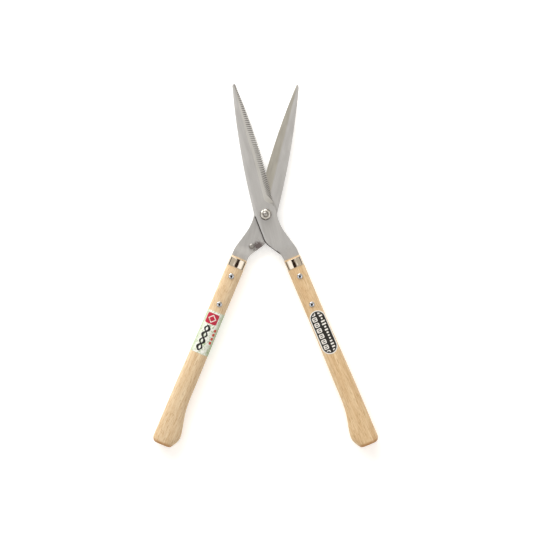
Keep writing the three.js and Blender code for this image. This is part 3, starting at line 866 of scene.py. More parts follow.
@dataclass(frozen=True)
class StadiumPrint(PrintedFilm):
    """The right handle's sticker: white bars and blocks on black inside a clear white border."""

    def paint(self, tree: Tree) -> Socket:
        """Adds the border and then the two columns of marks.

        Args:
            tree: the material's tree.

        Returns:
            The shader.
        """
        place = self.place(tree)
        x, y = self.centred(tree, place, 0.0, self.length / 2)
        radius = self.width / 2
        off = add(tree, "Math", [y], operation="ABSOLUTE")
        beyond = add(tree, "Math", [off, self.length / 2 - radius], operation="SUBTRACT")
        beyond = add(tree, "Math", [beyond, 0.0], operation="MAXIMUM")
        corner = add(tree, "CombineXYZ", [x, beyond])
        away = add(tree, "VectorMath", [corner], "Value", operation="LENGTH")
        border = add(tree, "MapRange", [away, radius - 1.5, radius - 1.25])
        inner = add(tree, "MapRange", [away, radius - 3.0, radius - 3.2])
        marks = add(
            tree, "Math", [self.blocks(tree, place), self.bars(tree, place)], operation="MAXIMUM"
        )
        marks = add(tree, "Math", [marks, inner], operation="MULTIPLY")
        white = add(tree, "Math", [border, marks], operation="MAXIMUM")
        colour = add(tree, "Mix", {0: white, 6: "#17130f", 7: "#eeebe6"}, 2, data_type="RGBA")
        return self.film(tree, place, colour)

    def blocks(self, tree: Tree, place: Socket) -> Socket:
        """Rounded frames with a bar across, one above the other on the left.

        Args:
            tree: the material's tree.
            place: coordinates in millimetres.

        Returns:
            Where they are clear of ink.
        """
        x, y = self.centred(tree, place, -4.9, self.length / 2)
        row, _ = self.repeat(tree, y, 8.6)
        outside = self.inside(tree, x, row, 3.6, 3.3)
        hollow = self.inside(tree, x, row, 2.2, 2.0)
        bar = self.inside(tree, x, row, 3.0, 0.6)
        ring = add(tree, "Math", [outside, hollow], operation="SUBTRACT")
        return add(tree, "Math", [ring, bar], operation="MAXIMUM")

    def bars(self, tree: Tree, place: Socket) -> Socket:
        """Short bars of uneven length on the right.

        Args:
            tree: the material's tree.
            place: coordinates in millimetres.

        Returns:
            Where they are clear of ink.
        """
        x, y = self.centred(tree, place, 5.3, self.length / 2)
        row, number = self.repeat(tree, y, 4.4)
        length = add(tree, "TexWhiteNoise", {"W": number}, "Value", noise_dimensions="1D")
        half = add(tree, "MapRange", [length, 0.0, 1.0, 1.2, 3.3])
        off = add(tree, "Math", [x], operation="ABSOLUTE")
        off = add(tree, "Math", [off, half], operation="SUBTRACT")
        across = add(tree, "MapRange", [off, 0.2, -0.2])
        high = add(tree, "Math", [row], operation="ABSOLUTE")
        high = add(tree, "MapRange", [high, 1.25, 1.0])
        return add(tree, "Math", [across, high], operation="MULTIPLY")


# ---------------------------------------------------------------- blades


@dataclass(frozen=True)
class CuttingEdge:
    """Plan of a blade's cutting side: where it starts, and how it curves in towards the tip."""

    reach: float
    straight: float
    sweep: float
    tip_slant: float


@dataclass
class Measures:
    """What a plate's section is made to, for each point of its plan."""

    thickness: Array
    bevel: Array
    land: Array
    spine_bevel: Array
    spine_drop: Array
    fall: Array
    hollow: Array
    floor: Array

    def after(self, other: "Measures") -> "Measures":
        """These rows with another's rows after them."""
        pairs = {k: np.vstack([v, getattr(other, k)]) for k, v in vars(self).items()}
        return Measures(**pairs)


@dataclass
class Bore:
    """A hole through a plate, round or square."""

    x: float
    y: float
    radius: float
    square: bool = False

    def rim(self, angle: Array) -> Array:
        """Plan points of the hole's edge at the given angles.

        Args:
            angle: the angles round the hole's middle.

        Returns:
            The points.
        """
        flat = np.maximum(np.abs(np.cos(angle)), np.abs(np.sin(angle)))
        reach = self.radius / flat if self.square else np.full(angle.shape, self.radius)
        return np.stack([self.x + reach * np.cos(angle), self.y + reach * np.sin(angle)], -1)


def block_round(plan: Array, x: float, y: float, reach: float) -> tuple[slice, slice]:
    """The block of a grid that holds every point within reach of a place.

    Args:
        plan: the grid's plan points.
        x: the place.
        y: the place.
        reach: the distance.

    Returns:
        The block's rows and columns, its rim among them.
    """
    near = np.hypot(plan[..., 0] - x, plan[..., 1] - y) < reach
    rows, columns = np.nonzero(near.any(1))[0], np.nonzero(near.any(0))[0]
    return slice(rows[0] - 1, rows[-1] + 2), slice(columns[0] - 1, columns[-1] + 2)


def rim_of(grid: Array, block: tuple[slice, slice]) -> Array:
    """Numbers round the rim of a block of a grid, in order."""
    inner = grid[block]
    return np.concatenate([inner[0, :-1], inner[:-1, -1], inner[-1, :0:-1], inner[:0:-1, 0]])


@dataclass
class Plate:
    """One half's forging: blade, shank and tang in one piece of steel.

    The plate is a plan grid with two heights over it, the outer face and the inner face. Rows
    run from the tip to the end of the tang, and each row from the cutting side to the spine.
    """

    half: Half
    edge: CuttingEdge
    finish: Finish
    serrated: bool
    bores: list[Bore]
    columns: tuple[int, int, int, int] = (12, 4, 14, 3)
    plain_rows: int = 149
    row_step: float = 0.45
    row_gap: float = 0.4
    shank_rows: int = 84
    tang_step: float = 1.1
    crease: float = math.radians(24)
    length: float = 179.4
    heel: float = 17.0
    plate: float = 4.0
    tip_plate: float = 2.2
    pivot_width: float = 32.2
    spine_sweep: float = 12.8
    spine_straight: float = 8.0
    nose: float = 1.3
    bevel: float = 12.0
    bevel_share_at_tip: float = 0.5
    run_in: float = 6.0
    run_out: float = 11.0
    edge_land: float = 0.35
    spine_bevel: float = 3.0
    spine_drop: float = 1.1
    back_fall: float = 0.2
    hollow: float = 0.33
    hollow_at: float = 0.45
    hollow_round: float = 0.12
    ridge_round: float = 0.1
    arris: float = 0.4
    heel_pitch: float = 4.1
    pitch: float = 3.1
    heel_pitch_length: float = 40.0
    groove: float = 0.95
    groove_end: float = 0.3
    groove_length: float = 9.5
    heel_groove_length: float = 15.0
    groove_length_run: float = 45.0
    groove_close: float = 0.86
    groove_share: float = 0.82
    flank: float = math.radians(52)
    groove_round: float = 0.12
    slant_at_heel: float = math.radians(58)
    slant: float = math.radians(16)
    slant_length: float = 58.0
    slant_tip: float = 12.0
    free_heel: float = 1.0
    free_tip: float = 6.0
    lip: float = 0.12
    knee: tuple[float, float] = (-10.7, -40.6)
    knee_round: float = 6.5
    outer_bend: float = -19.5
    outer_round: float = 15.0
    neck_inner: float = 8.0
    neck_outer: float = 10.5
    neck_round: float = 5.0
    shank_inner: float = -12.2
    shank_outer: float = 11.75
    shoulder: float = -2.3
    crank: tuple[float, float] = (0.73, 0.95)
    tang: float = 88.0
    tang_width: float = 17.0
    tang_end_width: float = 11.0
    tang_tip: float = 4.0
    tang_break: float = 1.2
    tang_break_width: float = 7.7
    tang_tip_width: float = 3.3
    # Width of the painted shadow line down the shank's back.
    shadow_line_width: float = 1.05

    @property
    def tip(self) -> float:
        """Height of the tip above the pivot."""
        return self.heel + self.length

    @property
    def floor(self) -> float:
        """Height of the inner face above the parting plane."""
        return BLADE_GAP / 2

    def edge_x(self, y: Array) -> Array:
        """The cutting side: level from the heel, then in by the sweep times share squared."""
        sweep = self.edge.sweep * part(y, self.heel + self.edge.straight, self.tip) ** 2
        return mix(self.pivot_width / 2, self.edge.reach, ease(y, 0, self.heel)) - sweep

    def spine_x(self, y: Array) -> Array:
        """The spine: straight above the heel, then in by the sweep times share squared."""
        share = part(y, self.heel + self.spine_straight, self.tip)
        return -self.pivot_width / 2 + self.spine_sweep * share**2

    def thickness_at(self, y: Array) -> Array:
        """The plate thins evenly from the heel to the tip."""
        return mix(self.plate, self.tip_plate, part(y, self.heel, self.tip))

    def bevel_at(self, y: Array) -> Array:
        """Width of the cutting bevel: full above the heel, gone in a curved shoulder below.

        Args:
            y: heights above the pivot.

        Returns:
            The widths.
        """
        width = self.edge_x(y) - self.spine_x(y)
        full = np.minimum(self.bevel, self.bevel_share_at_tip * width)
        return mix(self.arris, full, ease(y, self.heel - self.run_out, self.heel + self.run_in))

    def groove_places(self) -> Array:
        """Places of the serrations up the edge, closing up from the heel's pitch.

        Returns:
            Heights above the pivot, from the heel up.
        """
        places = [self.heel + self.free_heel]
        while places[-1] < self.tip - self.free_tip:
            share = float(part(places[-1] - self.heel, 0, self.heel_pitch_length))
            places.append(places[-1] + float(mix(self.heel_pitch, self.pitch, share)))
        return np.array(places[:-1])

    def slant_at(self, y: Array) -> Array:
        """Slant of the rows from square to the edge, eased off below the heel and at the tip.

        Args:
            y: heights above the pivot.

        Returns:
            The slants.
        """
        along_edge = ease(y, self.heel, self.heel + self.slant_length)
        ends = ease(y, 0, self.heel) * (1 - ease(y, self.tip - self.slant_tip, self.tip))
        return mix(self.slant_at_heel, self.slant, along_edge) * ends

    def groove_run(self, y: Array) -> Array:
        """Length of the serrations: longest at the heel, or as much as the bevel leaves room for.

        Above the heel that is the bevel at their inner end, along the slant; below it, where the
        bevel closes, it is the bevel beside the row.

        Args:
            y: heights above the pivot.

        Returns:
            The lengths.
        """
        slant = self.slant_at(y)
        further = ease(y, self.heel, self.heel + self.groove_length_run)
        length = mix(self.heel_groove_length, self.groove_length, further)
        room = self.bevel_at(y + length * np.sin(slant)) / np.cos(slant)
        above = ease(y, self.heel - 4, self.heel + self.free_heel)
        return np.minimum(length, self.groove_share * mix(self.bevel_at(y), room, above))

    def edge_rows(self) -> tuple[Array, Array]:
        """Heights of the blade's rows at the cutting side, and each row's place in its groove.

        A serration has ten rows, evenly spaced between its neighbours' middles.

        Returns:
            The heights from the tip down, and the distance of each from the nearest groove's
            middle line, square to it.
        """
        places = self.groove_places()
        numbers = np.arange(len(places))
        if not self.serrated:
            y = np.linspace(self.tip, 0, self.plain_rows, endpoint=False)
            return y, np.full(y.shape, self.bevel)
        phase = np.arange(-0.6, len(places) - 0.4, 0.1)
        pitch = np.interp(phase, numbers[:-1], np.diff(places))
        inner = np.interp(phase, numbers, places)
        outside = phase - np.clip(phase, 0, numbers[-1])
        inner = inner + outside * pitch
        above = np.arange(inner[-1] + self.row_step, self.tip, self.row_step)
        below = np.arange(inner[0] - 2 * self.row_step, self.row_gap, -2 * self.row_step)
        y = np.concatenate([below[::-1], inner, above, [self.tip]])
        nearest = places[np.abs(y[:, None] - places[None]).argmin(1)]
        away = (y - nearest) * np.cos(self.slant_at(y))
        return y[::-1], away[::-1]

    def blade_plan(self) -> tuple[Array, Array, Array]:
        """Plan of the blade's rows.

        Each row goes from the edge along its groove, then level to the ridge of the bevel, to the
        ridge of the spine's bevel and to the spine.

        Returns:
            The plan points, the distance along the groove and the distance beside it.
        """
        y, away = self.edge_rows()
        slant = self.slant_at(y)
        bevel = self.bevel_at(y)
        run = self.groove_run(y)
        start = self.notch_depth(y, away, run, slant)
        width = self.edge_x(y) - self.spine_x(y)
        drop = self.edge.tip_slant * part(y, self.heel, self.tip)
        level = y + run * np.sin(slant)
        ridge_y = level - drop * bevel / width
        crest_y = level - drop * (1 - self.spine_bevel_at(y) / width)
        spine_y = level - drop
        corners = [
            (self.edge_x(y) - start * np.cos(slant), y + start * np.sin(slant)),
            (self.edge_x(y) - run * np.cos(slant), level),
            (self.edge_x(ridge_y) - self.bevel_at(ridge_y), ridge_y),
            (self.spine_x(crest_y) + self.spine_bevel_at(y), crest_y),
            (self.spine_x(spine_y), spine_y),
        ]
        plan = self.filled([np.stack(pair, -1) for pair in corners])
        first = np.linspace(0, 1, self.columns[0] + 1)
        rest = np.ones(sum(self.columns[1:]))
        share = np.concatenate([first, rest])[None]
        travelled = mix(start[:, None], run[:, None], share)
        return self.nosed(plan, y), travelled, np.broadcast_to(away[:, None], travelled.shape)

    def spine_bevel_at(self, y: Array) -> Array:
        """Width of the spine's bevel, narrower where the blade is."""
        return np.minimum(self.spine_bevel, 0.2 * (self.edge_x(y) - self.spine_x(y)))

    def filled(self, corners: list[Array]) -> Array:
        """Rows of evenly spaced points between each pair of corners.

        Args:
            corners: for each corner of a row, its plan point in every row.

        Returns:
            The plan grid.
        """
        made = [corners[0][:, None]]
        for start, end, count in zip(corners, corners[1:], self.columns):
            share = (np.arange(count) + 1)[None, :, None] / count
            made.append(mix(start[:, None], end[:, None], share))
        return np.concatenate(made, 1)

    def nosed(self, plan: Array, y: Array) -> Array:
        """Rounds the tip's two corners: rows near it close in by a quarter circle's share.

        Args:
            plan: the plan grid.
            y: the rows' heights at the edge.

        Returns:
            The plan grid with its tip rounded.
        """
        rise = part(y, self.tip - self.nose, self.tip)
        keep = mix(0.45, 1.0, np.sqrt(1 - rise**2))[:, None, None]
        middle = plan.mean(1, keepdims=True)
        return middle + (plan - middle) * keep

    def notch_depth(self, y: Array, away: Array, run: Array, slant: Array) -> Array:
        """How far in from the edge a groove has cut right through the plate.

        The groove's floor rises from land - groove at the edge, at the bevel's slope plus the
        groove's own run out, and its flank rises with the distance from its middle line. The
        row starts where that is a thin lip above the inner face.

        Args:
            y: the rows' heights at the edge.
            away: the rows' distance from their groove's middle line.
            run: the grooves' length.
            slant: the rows' slant.

        Returns:
            The distance along the row.
        """
        if not self.serrated:
            return np.zeros(y.shape)
        slope = (self.thickness_at(y) - self.edge_land) / self.bevel_at(y) * np.cos(slant)
        rise = slope + (self.groove - self.groove_end) / run
        missing = self.lip - self.edge_land + self.groove - np.abs(away) / math.tan(self.flank)
        return np.clip(missing / rise, 0, 0.6 * run)

    def blade_measures(self, plan: Array) -> Measures:
        """What the blade's section is made to at each plan point.

        Args:
            plan: the blade's plan grid.

        Returns:
            The measures.
        """
        y = plan[..., 1]
        thickness = self.thickness_at(y)
        ground = ease(y, self.heel - self.run_out, self.heel)
        grown = ease(y, self.heel - self.run_out, self.heel + self.run_in)
        return Measures(
            thickness=thickness,
            bevel=self.bevel_at(y),
            land=mix(thickness - self.arris, self.edge_land, ground),
            spine_bevel=self.spine_bevel_at(y),
            spine_drop=self.spine_drop * thickness / self.plate,
            fall=self.back_fall * grown,
            hollow=self.hollow * ease(y, self.heel + self.run_in, 2 * (self.heel + self.run_in)),
            floor=np.full(y.shape, self.floor),
        )

    def shank_plan(self) -> tuple[Array, Array]:
        """Plan of the shank's and the tang's rows, and each row's share of the shank.

        The shank's two sides are straight stretches with rounded corners, followed at the same
        share of their lengths; the tang's are two lines that taper to a rounded end.

        Returns:
            The plan grid, and the shares, 1 all along the tang.
        """
        width = self.pivot_width / 2
        neck_in = AXIS.point(self.shank_inner, self.shoulder - self.neck_inner)
        neck_out = AXIS.point(self.shank_outer, self.shoulder - self.neck_outer)
        end_in = AXIS.point(self.shank_inner, self.shoulder)
        inner = rounded(
            [(-width, 0), self.knee, tuple(neck_in), tuple(end_in)],
            [self.knee_round, self.neck_round],
            24,
        )
        end_out = AXIS.point(self.shank_outer, self.shoulder)
        outer = rounded(
            [(width, 0), (width, self.outer_bend), tuple(neck_out), tuple(end_out)],
            [self.outer_round, self.neck_round],
            24,
        )
        share = np.linspace(0, 1, self.shank_rows)
        broken = self.tang - self.tang_break
        s = np.arange(self.shoulder + 0.3, broken, self.tang_step)
        s = np.concatenate([s, [self.tang - 0.4, self.tang]])
        stations = [self.shoulder, self.tang - self.tang_tip, broken, self.tang]
        widths = [self.tang_width, self.tang_end_width, self.tang_break_width, self.tang_tip_width]
        half = np.interp(s, stations, widths) / 2
        near = np.vstack([along(outer, share), AXIS.point(half, s)])
        far = np.vstack([along(inner, share), AXIS.point(-half, s)])
        shares = np.concatenate([share, np.ones(s.shape)])
        across = (far - near) / np.linalg.norm(far - near, axis=1)[:, None]
        crest = far - across * self.spine_measures(shares)[0][:, None]
        arris = across * self.arris
        return self.filled([near, near + 0.8 * arris, near + arris, crest, far]), shares

    def spine_measures(self, share: Array) -> tuple[Array, Array]:
        """Width and drop of the spine's bevel, which closes to an arris down the shank."""
        plain = ease(share, 0.5, 0.9)
        return mix(self.spine_bevel, self.arris, plain), mix(self.spine_drop, self.arris, plain)

    def shank_measures(self, shares: Array) -> Measures:
        """What the shank's and the tang's section is made to at each plan point.

        Args:
            shares: each row's share of the shank.

        Returns:
            The measures.
        """
        shape = (len(shares), sum(self.columns) + 1)
        bevel, drop = self.spine_measures(shares)
        shift = (self.floor + self.plate / 2) * ease(shares, *self.crank)
        land, floor = self.plate - self.arris, self.floor - shift
        level = [self.plate, self.arris, land, bevel, drop, 0.0, 0.0, floor]
        rows = [np.broadcast_to(np.asarray(v, float).reshape(-1, 1), shape) for v in level]
        return Measures(*rows)

    def faces_over(self, beside: Array, beyond: Array, m: Measures) -> tuple[Array, Array]:
        """Heights of the two faces.

        The outer face is the least of three planes, the cutting bevel, the flat and the spine's
        bevel, with their ridges rounded. The inner face rises in two flat slopes to its hollow.

        Args:
            beside: distance from the cutting side.
            beyond: distance from the spine.
            m: the section's measures.

        Returns:
            The outer and the inner face's heights.
        """
        width = beside + beyond
        bevel = m.land + (m.thickness - m.land) * beside / m.bevel
        share = np.clip((beside - m.bevel) / (width - m.bevel - m.spine_bevel), 0, 1)
        flat = m.thickness - m.fall * share
        spine = m.thickness - m.spine_drop + (m.spine_drop - m.fall) * beyond / m.spine_bevel
        outer = least(least(bevel, flat, self.ridge_round), spine, self.ridge_round)
        across = beside / width
        rise, fall = across / self.hollow_at, (1 - across) / (1 - self.hollow_at)
        dish = least(rise, fall, self.hollow_round)
        inner = m.hollow * np.clip(dish, 0, 1)
        return m.floor + outer, m.floor + inner

    def cut_at(self, travelled: Array, away: Array, run: Array) -> tuple[Array, Array]:
        """Depth of the serrations below the bevel.

        A groove is a V with a rounded bottom: its depth falls evenly from the edge to its inner
        end, less the distance from its middle line over the flank's tangent.

        Args:
            travelled: distance from the edge along the groove.
            away: distance beside its middle line.
            run: the groove's length.

        Returns:
            The depth, and its share of the groove's full depth there, which sets the painted shade.
        """
        share = travelled / run
        closing = 1 - ease(share, self.groove_close, 1.0)
        depth = mix(self.groove, self.groove_end, share) * closing
        beside = np.sqrt(away**2 + self.groove_round**2) - self.groove_round
        cut = np.clip(depth - beside / math.tan(self.flank), 0, None)
        return cut, cut / np.maximum(depth, 0.05)

    def build(self, name: str, node: str) -> bpy.types.Object:
        """Makes the plate.

        Args:
            name: the piece's name.
            node: the node that it stands for.

        Returns:
            The piece.
        """
        blade, travelled, away = self.blade_plan()
        shank, shares = self.shank_plan()
        plan = np.vstack([blade, shank])
        measures = self.blade_measures(blade).after(self.shank_measures(shares))
        across, up = blade[..., 0], blade[..., 1]
        on_shank = [np.linalg.norm(shank - shank[:, [side]], axis=-1) for side in (0, -1)]
        beside = np.vstack([self.edge_x(up) - across, on_shank[0]])
        beyond = np.vstack([across - self.spine_x(up), on_shank[1]])
        outer, inner = self.faces_over(beside.clip(0), beyond.clip(0), measures)
        rows = len(blade)
        fresh = self.grinding_and_shadow_marks(beside, beyond, measures, rows)
        if self.serrated:
            y = self.edge_rows()[0][:, None]
            cut, shade = self.cut_at(travelled, away, self.groove_run(y))
            outer[:rows] = np.maximum(outer[:rows] - cut, self.floor + self.lip)
            # Painted shade in the serrations, strongest where a groove is deepest for its place; near the
            # heel, where the grooves crowd, less of each is shaded.
            crowded = 1 - ease(y, self.heel, self.heel + self.heel_pitch_length)
            fresh[0][:rows] -= 2 * ease(shade, mix(0.25, 0.5, crowded), mix(0.75, 0.9, crowded))
        skin = Skin()
        top = skin.add(self.half.place(np.dstack([plan, outer])), fresh[0])
        bottom = skin.add(self.half.place(np.dstack([plan, inner])), fresh[1])
        left_out = np.zeros((top.shape[0] - 1, top.shape[1] - 1), bool)
        for bore in self.bores:
            block = self.pierce(skin, plan, (top, bottom), (outer, inner), bore)
            left_out[tuple(slice(side.start, side.stop - 1) for side in block)] = True
        skin.sheet(top, left_out)
        skin.sheet(bottom, left_out)
        everything = (slice(0, top.shape[0]), slice(0, top.shape[1]))
        skin.around(rim_of(top, everything), rim_of(bottom, everything))
        return make_piece(skin, name, node, self.half.body, self.finish, self.crease)

    def grinding_and_shadow_marks(
        self, beside: Array, beyond: Array, m: Measures, rows: int
    ) -> tuple[Array, Array]:
        """Where the steel was ground last, the bevel and a strip along the inner face's edge.

        Down the shank's back chamfer the mark goes the other way, a painted shadow line.

        Args:
            beside: distance from the cutting side.
            beyond: distance from the spine.
            m: the section's measures.
            rows: how many rows belong to the blade.

        Returns:
            The marks of the outer and the inner face.
        """
        on_blade = (np.arange(len(beside)) < rows)[:, None] * ease(m.bevel, 0.6, 2.0)
        bevel = on_blade * (beside < m.bevel + 0.05)
        share = beside / (beside + beyond)
        strip = on_blade * (1 - ease(share, self.hollow_at - 0.03, self.hollow_at + 0.03))
        on_shank = (np.arange(len(beside)) >= rows)[:, None]
        # A painted shadow line along the shank's back chamfer.
        chamfer = on_shank * (beyond < self.shadow_line_width) * (m.spine_bevel > self.arris + 0.1)
        return bevel - chamfer, strip

    def pierce(
        self,
        skin: Skin,
        plan: Array,
        grids: tuple[Array, Array],
        heights: tuple[Array, Array],
        bore: Bore,
    ) -> tuple[slice, slice]:
        """Carries the rims of a block of both faces to a hole, and walls the hole.

        Args:
            skin: the surface.
            plan: the plan grid.
            grids: the two faces' numbers.
            heights: the two faces' heights.
            bore: the hole.

        Returns:
            The block that the hole takes the place of.
        """
        corner = bore.radius * (1.42 if bore.square else 1.0)
        block = block_round(plan, bore.x, bore.y, corner + 0.5)
        outline = np.stack([rim_of(plan[..., k], block) for k in (0, 1)], -1)
        angle = np.arctan2(outline[:, 1] - bore.y, outline[:, 0] - bore.x)
        edges = []
        for grid, height in zip(grids, heights):
            level = rim_of(height, block).mean()
            rim = bore.rim(angle)
            edge = skin.add(self.half.place(np.column_stack([rim, np.full(len(rim), level)])))
            skin.around(rim_of(grid, block), edge)
            edges.append(edge)
        skin.around(*edges)
        return block


# ---------------------------------------------------------------- pivot and stop


@dataclass
class Pivot:
    """The bolt, its washer and nut, and the stop pin that the closing handles meet."""

    zinc: Finish
    peen: Finish
    steel: Finish
    bolt: float = 8.0
    square_step: float = 0.4
    head: float = 19.0
    head_flat: float = 13.0
    head_rim: float = 2.2
    peened: float = 6.0
    peened_height: float = 1.2
    nut_flats: float = 13.0
    nut_height: float = 6.5
    nut_crown: float = math.radians(30)
    washer: float = 17.0
    washer_thickness: float = 1.5
    plate: float = 4.0
    stop: float = 8.0
    stop_stem: float = 5.0
    stop_rim: float = 1.6
    stop_height: float = 3.6
    stop_x: float = 13.0
    stop_y: float = -46.0
    segments: int = 96

    @property
    def plate_top(self) -> float:
        """Outer face of a plate, from the parting plane."""
        return BLADE_GAP / 2 + self.plate

    @property
    def nut_floor(self) -> float:
        """Lower face of the nut, from the parting plane."""
        return self.plate_top + SEAT_GAP + self.washer_thickness + SEAT_GAP

    def lift(self, points: Array) -> Array:
        """Points above the parting plane in the shears' frame."""
        return points + np.array([0, 0, PARTING_Z])

    def build(self) -> None:
        """Makes the four pieces."""
        self.make_bolt()
        self.make_washer()
        self.make_nut()
        self.make_stop()

    def make_bolt(self) -> None:
        """The bolt: a low crowned head, a square neck, a round shank and a peened, dimpled end."""
        low = self.plate_top + SEAT_GAP
        neck_low = BLADE_GAP / 2 + SEAT_GAP
        rim, shank, neck = self.head / 2, self.bolt / 2, self.bolt / 2 + self.square_step
        nut_top = self.nut_floor + self.nut_height
        end = -(nut_top + self.peened_height)
        head = rounded(
            [(0.4, PARTING_Z), (self.head_flat / 2, PARTING_Z), (rim - 0.8, low + self.head_rim + 1.0),
             (rim, low + self.head_rim), (rim, low), (neck, low)],
            [0.6, 0.5, 0.5, 0.25],
        )
        tail = rounded(
            [(neck, neck_low), (shank, neck_low), (shank, 0.6 - nut_top), (self.peened / 2, -nut_top),
             (self.peened / 2, end + 0.45), (1.7, end), (1.3, end + 0.35), (0.3, end + 0.5)],
            [0.1, 0.3, 0.2, 0.4, 0.3, 0.15],
        )
        profile = np.vstack([head, tail])
        squared = (profile[:, 1] >= neck_low - 0.01) & (profile[:, 1] <= low + 0.01)
        squared &= np.abs(profile[:, 0] - neck) < 0.01

        def reach(radius: Array, angle: Array) -> Array:
            """The neck's radius over the larger of |cos| and |sin|, the rest round."""
            flat = np.maximum(np.abs(np.cos(angle)), np.abs(np.sin(angle)))
            return np.where(squared[:, None], radius / flat, radius)

        skin = Skin()
        rings = skin.tube(Half.REAR.place(spun(profile, circle(self.segments, math.pi / 4), reach)))
        skin.close(rings[0])
        skin.close(rings[-1])
        make_piece(skin, "pivot_bolt_turned", "pivot_bolt", "rear_half", self.peen)

    def make_washer(self) -> None:
        """The washer: a flat ring with one edge rolled over by the punch."""
        low = self.plate_top + SEAT_GAP
        high = low + self.washer_thickness
        rim, bore = self.washer / 2, self.bolt / 2 + FIT
        profile = rounded(
            [(bore + 1, low), (rim, low), (rim, high), (bore, high), (bore, low), (bore + 1, low)],
            [0.12, 0.45, 0.25, 0.12],
        )[:-1]
        self.ring(profile, "pivot_washer_punched", "pivot_washer", self.peen)

    def ring(
        self,
        profile: Array,
        name: str,
        node: str,
        finish: Finish,
        reach: Callable[[Array, Array], Array] | None = None,
    ) -> None:
        """Makes a piece from a closed profile carried round the pivot.

        Args:
            profile: radius and height of each ring, in order round the section.
            name: the piece's name.
            node: the node that it stands for.
            finish: its material.
            reach: as for spun.
        """
        skin = Skin()
        rings = skin.tube(self.lift(spun(profile, circle(self.segments, math.pi / 6), reach)))
        skin.around(rings[-1], rings[0])
        make_piece(skin, name, node, "rear_half", finish)

    def make_nut(self) -> None:
        """The nut: a hexagon, points along Y, whose corners a cone cuts off above and below.

        The radius is the least of the profile's and the hexagon's, f / 2 over the cosine of the
        angle from the nearest flat's middle.
        """
        low, high = self.nut_floor, self.nut_floor + self.nut_height
        bore = self.bolt / 2 + FIT
        face = self.nut_flats / 2 - 0.3
        corner = self.nut_flats / math.sqrt(3) + 0.05
        fall = (corner - face) * math.tan(self.nut_crown)
        inset = 0.5
        outline = np.array([
            (bore + inset, low), (face, low), (corner, low + 0.5 * fall), (corner, high - fall),
            (face, high), (bore + inset, high), (bore, high - inset), (bore, low + inset),
            (bore + inset, low),
        ])
        stretches = [
            np.linspace(start, end, count, endpoint=False)
            for start, end, count in zip(outline, outline[1:], (2, 6, 3, 9, 3, 1, 1, 1))
        ]

        def reach(radius: Array, angle: Array) -> Array:
            """The lesser of the profile's radius and the hexagon's."""
            turn = np.mod(angle + math.pi / 6, math.pi / 3) - math.pi / 6
            return np.minimum(radius, self.nut_flats / 2 / np.cos(turn))

        self.ring(np.vstack(stretches), "pivot_nut_crowned", "pivot_nut", self.zinc, reach)

    def make_stop(self) -> None:
        """The stop: a domed head on the rear shank, its stem riveted through."""
        face = -BLADE_GAP / 2 + SEAT_GAP
        radius, stem = self.stop / 2, self.stop_stem / 2
        angle = np.linspace(0, math.pi / 2, 14)[:-1]
        dome = np.column_stack([
            radius * np.cos(angle),
            face + self.stop_rim + (self.stop_height - self.stop_rim) * np.sin(angle),
        ])
        low = rounded([(0.3, -self.plate_top), (stem, -self.plate_top), (stem, face), (radius, face),
                       (radius, face + self.stop_rim)], [0.4, 0.05, 0.15])
        points = spun(np.vstack([low[:-1], dome]), circle(64)) * np.array([1, -1, -1])
        skin = Skin()
        rings = skin.tube(Half.REAR.place(points + np.array([self.stop_x, self.stop_y, 0])))
        skin.close(rings[0])
        skin.close(rings[-1])
        make_piece(skin, "stop_pin_domed", "stop_pin", "rear_half", self.steel)


# ---------------------------------------------------------------- handles


class Label(Enum):
    """How a handle is labelled."""

    WRAP = "film round the whole handle"
    STADIUM = "sticker with round ends on the front"


